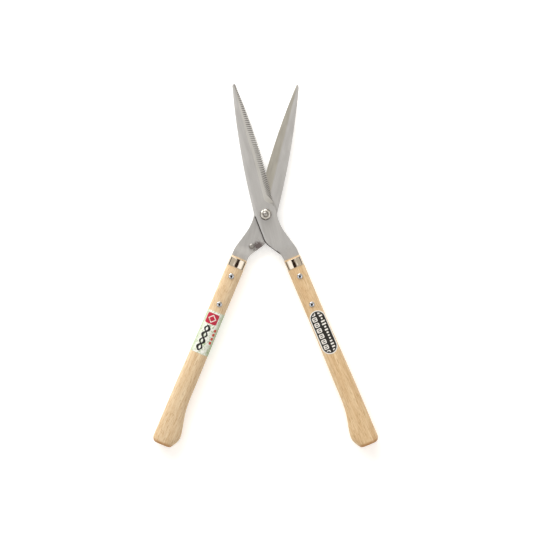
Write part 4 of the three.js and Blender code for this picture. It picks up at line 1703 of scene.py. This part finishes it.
@dataclass
class Handle:
    """A wooden handle with its ferrule, rivets, burrs and label.

    The section is a superellipse, |x/a|^p + |z/b|^p = 1, whose half width a differs between the
    inner and the outer side and changes down the handle.
    """

    side: str
    half: Half
    label: Label
    wood: Finish
    nickel: Finish
    steel: Finish
    film: PrintedFilm
    length: float = 292.5
    wood_proud: float = 2.0
    thickness: float = 20.0
    neck_thickness: float = 17.6
    neck_inner: float = 13.1
    neck_outer: float = 12.65
    grip_inner: float = 14.5
    grip_outer: float = 14.0
    power: float = 2.3
    neck_end: float = 90.0
    grip_start: float = 205.0
    flare: float = 9.0
    butt_corner: float = 18.0
    butt_corner_depth: float = 8.5
    butt_round: float = 8.0
    butt_round_depth: float = 4.0
    butt_edge: float = 4.0
    butt_edge_depth: float = 2.5
    butt_rim: float = 1.4
    top_round: float = 0.6
    ring_step: float = 1.2
    ferrule: float = 13.0
    ferrule_wall: float = 0.9
    ferrule_proud: float = 0.5
    ferrule_edge: float = 0.9
    ferrule_bow: float = 0.06
    rivet_places: tuple[float, float] = (27.0, 71.5)
    rivet: float = 4.0
    rivet_head: float = 8.0
    rivet_head_height: float = 2.1
    rivet_rim: float = 0.35
    dome: float = 0.62
    rivet_tail: float = 5.6
    rivet_tail_height: float = 0.4
    burr: float = 8.0
    burr_thickness: float = 0.7
    seat: float = 0.3
    film_thickness: float = 0.2
    slot: float = 88.15
    plate: float = 4.0
    segments: int = 96

    @property
    def front(self) -> int:
        """+1 where the rivets' heads face the half's outer side, -1 where its inner side."""
        return self.half.value

    def half_width(self, s: Array, cosine: Array) -> Array:
        """Half width of the wood at s, on the outer side for a positive cosine.

        Both sides swell from the neck to the grip; the inner side flares out towards the butt
        and ends in a slanted corner, the outer side in a rounded one.

        Args:
            s: places down the handle.
            cosine: the sign tells the side.

        Returns:
            The half width.
        """
        swell = ease(s, self.neck_end, self.grip_start)
        top = self.length - self.butt_corner
        flare = self.flare * ease(part(s, self.grip_start, top) ** 1.6, 0, 1)
        corner = self.butt_corner_depth * part(s, top, self.length) ** 1.6
        inner = mix(self.neck_inner, self.grip_inner, swell) + flare - corner
        cut = self.butt_round_depth * part(s, self.length - self.butt_round, self.length) ** 2
        outer = mix(self.neck_outer, self.grip_outer, swell) - cut
        return np.where(cosine > 0, outer, inner)

    def half_thickness(self, s: Array) -> Array:
        """Half thickness of the wood at s, rounded off at the butt.

        Args:
            s: places down the handle.

        Returns:
            The half thickness.
        """
        swell = ease(s, self.neck_end, self.grip_start)
        edge = self.butt_edge_depth * part(s, self.length - self.butt_edge, self.length) ** 2
        return mix(self.neck_thickness, self.thickness, swell) / 2 - edge

    def oval(self, s: Array, offset: Array | float, angles: Array) -> Array:
        """Rings of the section in the handle's frame.

        Args:
            s: place of each ring.
            offset: how far each ring is grown.
            angles: angle of each column.

        Returns:
            The rings' points.
        """
        down, angle = np.meshgrid(np.asarray(s, float), angles, indexing="ij")
        grown = np.broadcast_to(np.reshape(offset, (-1, 1)), down.shape)
        cosine, sine = np.cos(angle), np.sin(angle)
        wide = self.half_width(down, cosine) + grown
        high = self.half_thickness(down) + grown
        x = wide * np.sign(cosine) * np.abs(cosine) ** (2 / self.power)
        z = high * np.sign(sine) * np.abs(sine) ** (2 / self.power)
        return np.stack([x, -down, z], -1)

    def surface(self, x: Array, s: Array, offset: float = 0.0) -> Array:
        """Height of the oval over a plan point: b (1 - |x/a|^p)^(1/p).

        Args:
            x: places across the handle.
            s: places down it.
            offset: how far the oval is grown.

        Returns:
            The heights.
        """
        wide = self.half_width(s, x) + offset
        share = np.clip(1 - np.abs(x / wide) ** self.power, 0, 1)
        return (self.half_thickness(s) + offset) * share ** (1 / self.power)

    def seat_height(self, s: float) -> float:
        """Height of the flat seats for heads and burrs above the handle's middle plane."""
        return float(self.half_thickness(np.array(s))) - self.seat

    def put(self, points: Array) -> Array:
        """Points of the handle's frame where the half lies."""
        return self.half.place(AXIS.carry(points))

    def piece(self, skin: Skin, name: str, node: str, finish: Finish, crease: float = 32.0) -> None:
        """Makes one of the handle's pieces.

        Args:
            skin: its surface.
            name: what the piece is, after the handle's side.
            node: what its node is, after the handle's side.
            finish: its material.
            crease: angle in degrees from which an edge stays sharp.
        """
        name, node = f"{self.side}_{name}", f"{self.side}_{node}"
        make_piece(skin, name, node, self.half.body, finish, math.radians(crease))

    def build(self) -> None:
        """Makes the handle's seven pieces."""
        self.make_wood()
        self.make_ferrule()
        for place, s in zip(("upper", "lower"), self.rivet_places):
            self.make_rivet(place, s)
            self.make_burr(place, s)
        if self.label is Label.WRAP:
            self.make_wrap()
        else:
            self.make_sticker()

    def make_wood(self) -> None:
        """The wood: an oval shell with a slot for the tang, drilled and seated for the rivets.

        The outside is a grid of oval rings and the slot a grid of rectangular ones with the
        same rows and columns. A rivet's hole takes the place of the same block in both, so its
        wall is carried from one rim to the other.
        """
        under = self.ferrule_proud - self.ferrule_wall - FIT
        stop = self.ferrule + FIT
        end = np.linspace(0, math.pi / 2, 7)[1:]
        top = np.linspace(0, math.pi / 2, 5)
        rim = self.length - self.butt_rim
        s = np.concatenate([
            -self.wood_proud + self.top_round * (1 - np.cos(top)),
            np.arange(0.0, stop, self.ring_step),
            [stop, stop + 0.02],
            np.arange(stop + self.ring_step, rim, self.ring_step),
            rim + self.butt_rim * np.sin(end),
        ])
        offset = np.where(s <= stop + 0.01, under, 0.0)
        offset[: len(top)] -= self.top_round * (1 - np.sin(top))
        offset[-len(end) :] -= self.butt_rim * (1 - np.cos(end))
        angles = circle(self.segments)
        outside = self.oval(s, offset, angles)
        rows = int((s < self.slot - self.ring_step / 2).sum())
        inside = self.slot_rings(np.append(s[:rows], self.slot), angles)
        skin = Skin()
        outer = skin.add(self.put(outside))
        inner = skin.add(self.put(inside))
        open_cells = np.zeros((len(s) - 1, self.segments), bool)
        for place in self.rivet_places:
            for face in (1, -1):
                found = self.drill(skin, (outer, inner), (outside, inside), place, face)
                open_cells[tuple(slice(side.start, side.stop - 1) for side in found)] = True
        self.wrap_sheet(skin, outer, open_cells)
        self.wrap_sheet(skin, inner, open_cells[:rows])
        skin.around(outer[0], inner[0])
        skin.close(inner[-1])
        middle = outside[-1].mean(0)
        inwards = np.array([0.25, 0.6, 0.85])[:, None, None]
        caps = skin.tube(self.put(mix(outside[-1][None], middle, inwards)))
        skin.around(outer[-1], caps[0])
        skin.close(caps[-1])
        self.piece(skin, "handle_wood", "handle", self.wood, 50.0)

    @staticmethod
    def wrap_sheet(skin: Skin, grid: Array, left_out: Array) -> None:
        """Faces over rings, with some cells left open."""
        skin.sheet(np.column_stack([grid, grid[:, :1]]), left_out)

    def slot_rings(self, s: Array, angles: Array) -> Array:
        """Rings of the tang's slot: the direction of each column over the larger of its parts.

        Args:
            s: place of each ring.
            angles: angle of each column.

        Returns:
            The rings' points.
        """
        stations = (Plate.shoulder, Plate.tang - Plate.tang_tip, Plate.tang - Plate.tang_break, self.slot)
        widths = (Plate.tang_width, Plate.tang_end_width, Plate.tang_break_width, Plate.tang_tip_width)
        wide = np.interp(s, stations, widths)[:, None] / 2 + FIT
        largest = np.maximum(np.abs(np.cos(angles)), np.abs(np.sin(angles)))[None]
        x = wide * np.cos(angles) / largest
        z = (self.plate / 2 + FIT) * np.sin(angles) / largest
        return np.stack([x, np.broadcast_to(-s[:, None], x.shape), np.broadcast_to(z, x.shape)], -1)

    def drill(
        self,
        skin: Skin,
        grids: tuple[Array, Array],
        points: tuple[Array, Array],
        place: float,
        face: int,
    ) -> tuple[slice, slice]:
        """Drills one side of a rivet's hole, with a flat seat sunk into the oval.

        Args:
            skin: the surface.
            grids: numbers of the outside and of the slot.
            points: their points in the handle's frame.
            place: the rivet's place down the handle.
            face: +1 for the half's outer side, -1 for its inner side.

        Returns:
            The block that the hole takes the place of.
        """
        middle = self.segments // 2
        columns = slice(0, middle) if face > 0 else slice(middle, self.segments)
        seat = self.rivet_head / 2 + FIT
        found = block_round(points[0][:, columns, :2], 0.0, -place, seat + 0.4)
        block = (found[0], slice(found[1].start + columns.start, found[1].stop + columns.start))
        outline = np.stack([rim_of(points[0][..., k], block) for k in (0, 1)], -1)
        angle = np.arctan2(outline[:, 1] + place, outline[:, 0])
        level = self.seat_height(place)
        loops = [rim_of(grids[0], block)]
        bore = self.rivet / 2 + FIT
        for radius, height in ((seat, None), (seat, level), (bore, level)):
            x, s = radius * np.cos(angle), place - radius * np.sin(angle)
            z = self.surface(x, s) if height is None else np.full(x.shape, height)
            loops.append(skin.add(self.put(np.column_stack([x, -s, face * z]))))
        low = np.full(angle.shape, face * (self.plate / 2 + FIT))
        foot = np.column_stack([bore * np.cos(angle), bore * np.sin(angle) - place, low])
        loops.append(skin.add(self.put(foot)))
        loops.append(rim_of(grids[1], block))
        for near, far in zip(loops, loops[1:]):
            skin.around(near, far)
        return block

    def band(self, offset: Array, s: Array, name: str, node: str, finish: Finish) -> None:
        """Makes a closed band from a section carried round the oval.

        Args:
            offset: how far each point of the section stands off the wood.
            s: its place down the handle.
            name: as for piece.
            node: as for piece.
            finish: its material.
        """
        skin = Skin()
        rings = skin.tube(self.put(self.oval(s, offset, circle(self.segments))))
        skin.around(rings[-1], rings[0])
        self.piece(skin, name, node, finish, 40.0)

    def make_ferrule(self) -> None:
        """The ferrule: a drawn oval band, its edges rolled over and its middle a little full."""
        proud, thin = self.ferrule_proud, self.ferrule_proud - self.ferrule_wall
        edge, foot = self.ferrule_edge, self.ferrule
        flat = proud - self.ferrule_bow
        s = np.linspace(edge, foot - edge, 9)
        full = flat + self.ferrule_bow * np.sin(math.pi * (s - edge) / (foot - 2 * edge))
        top = rounded([(thin, 1.0), (thin, 0.0), (proud, 0.0), (flat, edge)], [0.2, 0.42])
        low = rounded(
            [(flat, foot - edge), (proud, foot), (thin, foot), (thin, foot - 1.0)], [0.42, 0.2]
        )
        section = np.vstack([top[:-1], np.column_stack([full, s]), low[1:]])
        self.band(section[:, 0], section[:, 1], "ferrule_band", "ferrule", self.nickel)

    def stand(self, points: Array, s: float) -> Array:
        """Turned points, z along the rivet towards its head, where the rivet stands."""
        turned_over = points * np.array([self.front, 1, self.front])
        return self.put(turned_over + np.array([0, -s, 0]))

    def make_rivet(self, place: str, s: float) -> None:
        """A rivet: a domed head, a stem through wood and tang, and a tail peened over its burr.

        The dome is a cos^q t wide and b sin^q t high, a little flatter than an ellipse.

        Args:
            place: upper or lower.
            s: its place down the handle.
        """
        top = self.seat_height(s) + SEAT_GAP
        stem, radius, tail = self.rivet / 2, self.rivet_head / 2, self.rivet_tail / 2
        burr_face = -(top + self.burr_thickness + SEAT_GAP)
        angle = np.linspace(0, math.pi / 2, 22)[:-1]
        rim, rise = top + self.rivet_rim, self.rivet_head_height - self.rivet_rim
        dome = np.column_stack([
            radius * np.cos(angle) ** self.dome,
            rim + rise * np.sin(angle) ** self.dome,
        ])
        tail_face = burr_face - self.rivet_tail_height
        low = rounded(
            [(0.2, tail_face), (tail - 0.6, tail_face), (tail, burr_face), (stem, burr_face),
             (stem, top), (radius, top), (radius, rim)],
            [0.5, 0.1, 0.1, 0.1, 0.1],
        )
        skin = Skin()
        rings = skin.tube(self.stand(spun(np.vstack([low[:-1], dome]), circle(64)), s))
        skin.close(rings[0])
        skin.close(rings[-1])
        self.piece(skin, f"{place}_rivet_domed", f"{place}_rivet", self.steel)

    def make_burr(self, place: str, s: float) -> None:
        """A burr: the small washer that a rivet's tail is peened over.

        Args:
            place: upper or lower.
            s: its place down the handle.
        """
        high = -(self.seat_height(s) + SEAT_GAP)
        low = high - self.burr_thickness
        rim, bore = self.burr / 2, self.rivet / 2 + FIT
        profile = rounded(
            [(bore + 0.5, high), (rim, high), (rim, low), (bore, low), (bore, high), (bore + 0.5, high)],
            [0.05, 0.3, 0.1, 0.05],
        )[:-1]
        skin = Skin()
        rings = skin.tube(self.stand(spun(profile, circle(48)), s))
        skin.around(rings[-1], rings[0])
        self.piece(skin, f"{place}_burr_punched", f"{place}_burr", self.steel)

    def make_wrap(self) -> None:
        """The wrap: film all round the handle."""
        start, length = self.film.start, self.film.length
        s = np.linspace(start, start + length, 40)
        low, high = SEAT_GAP, SEAT_GAP + self.film_thickness
        offset = np.concatenate([np.full(s.shape, high), np.full(s.shape, low)])
        self.band(offset, np.concatenate([s, s[::-1]]), "label_wrap", "label", self.film)

    def make_sticker(self) -> None:
        """The sticker: a stadium of film laid on the front of the oval.

        Each ring crosses the stadium at one place down the handle: over its outer face, then
        back under it. At the round ends the half width is r sin t while s moves by r (1 - cos t).
        """
        radius, length = self.film.width / 2, self.film.length
        turn = np.linspace(math.radians(3), math.pi / 2, 22)
        straight = np.linspace(radius, length - radius, 24)[1:-1]
        in_from_end, wide = radius * (1 - np.cos(turn)), radius * np.sin(turn)
        s = np.concatenate([in_from_end, straight, length - in_from_end[::-1]])
        half = np.concatenate([wide, np.full(straight.shape, radius), wide[::-1]])
        x = half[:, None] * np.linspace(-1, 1, 33)[None]
        down = np.broadcast_to((self.film.start + s)[:, None], x.shape)
        faces = []
        for offset in (SEAT_GAP + self.film_thickness, SEAT_GAP):
            faces.append(np.stack([x, -down, self.surface(x, down, offset)], -1))
        rings = np.concatenate([faces[0], faces[1][:, ::-1]], 1)
        skin = Skin()
        grid = skin.tube(self.put(rings))
        skin.close(grid[0])
        skin.close(grid[-1])
        self.piece(skin, "label_stadium", "label", self.film, 40.0)


# ---------------------------------------------------------------- studio


@dataclass
class Studio:
    """A pale floor, tan walls with white panels and a dim ceiling, two soft boxes and the camera.

    The panels and the ceiling are measured in parts of a direction of length 1. A panel's pair of
    numbers is where it starts to show and where it shows in full; the ceiling's pair is its half
    widths.
    """

    view_x: float = 1.3
    view_y: float = -75.8
    view_width: float = 778.0
    lens: float = 100.0
    sensor: float = 36.0
    floor: str = "#fbfbfb"
    floor_glow: float = 0.3
    floor_size: float = 8000.0
    wall: str = "#dbd5cb"
    panel: str = "#ffffff"
    panel_strength: float = 1.45
    panel_turn: float = math.radians(23)
    panel_near: tuple[float, float] = (0.14, 0.2)
    panel_far: tuple[float, float] = (0.84, 0.76)
    panel_side: tuple[float, float] = (0.24, 0.16)
    low_wall: str = "#3c3935"
    ceiling: str = "#33241b"
    ceiling_middle: float = -0.11
    ceiling_size: tuple[float, float] = (0.17, 0.18)
    box_azimuths: tuple[float, float] = (math.radians(98), math.radians(128))
    box_tilt: float = math.radians(68)
    box_radiance: float = 4.4
    box_distance: float = 2.2
    box_size: tuple[float, float] = (1.5, 1.3)

    def build(self) -> None:
        """Sets the stage."""
        self.lay_floor()
        self.hang_sky()
        for name, azimuth in zip(("box_north", "box_north_west"), self.box_azimuths):
            self.hang_box(name, azimuth)
        self.set_camera()
        scene = bpy.context.scene
        scene.view_settings.view_transform = "Standard"
        scene.view_settings.look = "None"

    def lay_floor(self) -> None:
        """A floor of matt white film just under the shears, lit a little from below."""
        half = self.floor_size / 2 * MM
        mesh = bpy.data.meshes.new("studio_floor")
        corners = [(-half, -half, -MM), (half, -half, -MM), (half, half, -MM), (-half, half, -MM)]
        mesh.from_pydata(corners, [], [(0, 1, 2, 3)])
        floor = bpy.data.objects.new("studio_floor", mesh)
        bpy.context.scene.collection.objects.link(floor)
        paper = bpy.data.materials.new("white_paper")
        paper.use_nodes = True
        tree = paper.node_tree
        tree.nodes.clear()
        glow = {"Emission Color": "#ffffff", "Emission Strength": self.floor_glow}
        matt = {"Base Color": self.floor, "Roughness": 0.9, "Specular IOR Level": 0.1}
        sheet = add(tree, "BsdfPrincipled", {**matt, **glow})
        add(tree, "OutputMaterial", {"Surface": sheet})
        mesh.materials.append(paper)

    def hang_sky(self) -> None:
        """Tan walls with a white panel to the east and to the west, and a dim ceiling.

        With the direction's x and y turned to a panel's middle, a panel is a box: it lies between
        two distances outwards and as far to either side. The ceiling is an oval a little south of
        straight overhead, (x/a)^2 + ((y-c)/b)^2 < 1. Low down the walls are dim.
        """
        world = bpy.data.worlds.new("studio_sky")
        bpy.context.scene.world = world
        world.use_nodes = True
        tree = world.node_tree
        tree.nodes.clear()
        here = add(tree, "TexCoord", {}, "Generated")
        north = add(tree, "SeparateXYZ", [here], "Y")
        side, up = north.node.outputs["X"], north.node.outputs["Z"]
        # The panels' middles lie south of east and of west.
        cosine, sine = math.cos(self.panel_turn), math.sin(self.panel_turn)
        reach = add(tree, "Math", [side], operation="ABSOLUTE")
        plan = add(tree, "CombineXYZ", [reach, north])
        out = add(
            tree, "VectorMath", [plan, (cosine, -sine, 0)], "Value", operation="DOT_PRODUCT"
        )
        beside = add(
            tree, "VectorMath", [plan, (sine, cosine, 0)], "Value", operation="DOT_PRODUCT"
        )
        beside = add(tree, "Math", [beside], operation="ABSOLUTE")
        panel = 1.0
        for value, limits in (
            (out, self.panel_near),
            (out, self.panel_far),
            (beside, self.panel_side),
        ):
            share = add(tree, "MapRange", [value, *limits])
            panel = add(tree, "Math", [panel, share], operation="MULTIPLY")
        low = add(tree, "MapRange", [up, 0.4, 0.2])
        walls = add(tree, "Mix", {0: panel, 6: self.wall, 7: self.panel}, 2, data_type="RGBA")
        walls = add(tree, "Mix", {0: low, 6: walls, 7: self.low_wall}, 2, data_type="RGBA")
        oval = add(
            tree,
            "Mapping",
            {
                "Vector": here,
                "Location": (0, self.ceiling_middle, 0),
                "Scale": (*self.ceiling_size, 1e6),
            },
            vector_type="TEXTURE",
        )
        away = add(tree, "VectorMath", [oval], "Value", operation="LENGTH")
        oval = add(tree, "MapRange", [away, 1.12, 0.88])
        high = add(tree, "MapRange", [up, 0.5, 0.6])
        overhead = add(tree, "Math", [oval, high], operation="MULTIPLY")
        light = add(tree, "Mix", {0: overhead, 6: walls, 7: self.ceiling}, 2, data_type="RGBA")
        camera = add(tree, "LightPath", {}, "Is Camera Ray")
        shown = add(tree, "Mix", {0: camera, 6: light, 7: "#ffffff"}, 2, data_type="RGBA")
        strength = add(tree, "MapRange", [panel, 0.0, 1.0, 1.0, self.panel_strength])
        sky = add(tree, "Background", {"Color": shown, "Strength": strength})
        add(tree, "OutputWorld", {"Surface": sky})

    def hang_box(self, name: str, azimuth: float) -> None:
        """Hangs a soft box that looks at the shears.

        Args:
            name: the light's name.
            azimuth: its direction in plan, from +X.
        """
        lamp = bpy.data.lights.new(name, "AREA")
        lamp.shape = "RECTANGLE"
        lamp.size, lamp.size_y = self.box_size
        lamp.energy = self.box_radiance * math.pi * self.box_size[0] * self.box_size[1]
        box = bpy.data.objects.new(name, lamp)
        bpy.context.scene.collection.objects.link(box)
        flat = math.sin(self.box_tilt) * self.box_distance
        box.location = (
            flat * math.cos(azimuth),
            flat * math.sin(azimuth) + self.view_y * MM,
            math.cos(self.box_tilt) * self.box_distance,
        )
        box.rotation_euler = (0, self.box_tilt, azimuth)
        box.visible_camera = False

    def set_camera(self) -> None:
        """A long lens straight above the shears, with +Y up in the view."""
        data = bpy.data.cameras.new("camera")
        data.lens, data.sensor_width = self.lens, self.sensor
        camera = bpy.data.objects.new("camera", data)
        bpy.context.scene.collection.objects.link(camera)
        height = self.view_width * self.lens / self.sensor
        camera.location = (self.view_x * MM, self.view_y * MM, (height + PARTING_Z) * MM)
        data.clip_end = 20.0
        bpy.context.scene.camera = camera


def stop_place() -> tuple[float, float]:
    """Plan place of the stop pin, in the rear half's own frame.

    Returns:
        The middle of the pin's node, turned back to the closed half.
    """
    low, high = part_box("stop_pin")
    middle = np.array([(low.x + high.x) / 2, (low.y + high.y) / 2]) / MM
    back = turned(middle, -Half.REAR.turn)
    return -float(back[0]), float(back[1])


def main() -> None:
    """Builds the shears, piece by piece, and the studio."""
    logging.basicConfig(level=logging.INFO, format="%(message)s")
    stop_x, stop_y = stop_place()
    front_steel = GroundSteel("ground_steel_front", "blade_steel", Lie(turn=Half.FRONT.turn))
    rear_steel = GroundSteel(
        "ground_steel_rear",
        "blade_steel",
        Lie(turn=Half.REAR.turn),
        # The rear's warmer fresh colour on its inner face's honed strip is partly a painted reflection.
        fresh="#c0bdb4",
        heat_x=HEAT_SHIFT[0] - stop_x,
        heat_y=HEAT_SHIFT[1] + stop_y,
        heat=0.9,
    )
    stop_steel = GroundSteel("turned_steel_stop", "blade_steel", face="#9b9894", roughness=0.42)
    zinc = PlatedMetal(
        "bright_zinc", "pivot_zinc", colour="#e9e6df", roughness=0.33, line=(0.5, 0.5, 4.0)
    )
    peen = PlatedMetal(
        "hammered_steel", "pivot_zinc", colour="#aaa7a3", roughness=0.24, cloud=0.2
    )
    bolt, rivet = Pivot.bolt / 2, Handle.rivet / 2 + FIT
    rivet_holes = [Bore(*AXIS.point(0.0, s).tolist(), rivet) for s in Handle.rivet_places]
    front = Plate(
        Half.FRONT,
        CuttingEdge(reach=15.3, straight=28.0, sweep=14.6, tip_slant=1.6),
        front_steel,
        serrated=True,
        bores=[Bore(0.0, 0.0, bolt + RUNNING_FIT), *rivet_holes],
    )
    rear = Plate(
        Half.REAR,
        CuttingEdge(reach=14.6, straight=0.0, sweep=14.9, tip_slant=3.4),
        rear_steel,
        serrated=False,
        bores=[
            Bore(0.0, 0.0, bolt + Pivot.square_step + FIT, square=True),
            Bore(stop_x, stop_y, Pivot.stop_stem / 2 + FIT),
            *rivet_holes,
        ],
    )
    front.build("serrated_blade", "front_blade")
    rear.build("plain_blade", "rear_blade")
    Pivot(zinc, peen, stop_steel, stop_x=stop_x, stop_y=stop_y).build()
    for side, half, label, pale, deep in (
        ("left", Half.REAR, Label.WRAP, "#e7d2b1", "#cfae83"),
        ("right", Half.FRONT, Label.STADIUM, "#e8cea6", "#cba575"),
    ):
        lie = Lie.of_handle(half)
        nickel = PlatedMetal(
            f"bright_nickel_{side}", "ferrule_plate", lie, "#d8cdbd", 0.08, 0.02, (9.0, 0.5, 9.0)
        )
        steel = PlatedMetal(
            f"polished_steel_{side}", "rivet_plate", lie, "#c6cad0", 0.1, 0.02, (1.0, 1.0, 1.0)
        )
        wood = LacqueredWood(f"white_oak_{side}", f"{side}_wood", lie, pale, deep)
        film = (
            WrapPrint("wrap_print", "wrap_film", lie, 83.5, 65.0)
            if label is Label.WRAP
            else StadiumPrint("stadium_print", "sticker_film", lie, 82.0, 67.0, 23.6)
        )
        Handle(side, half, label, wood, nickel, steel, film).build()
    Studio().build()


if __name__ == "__main__":
    main()
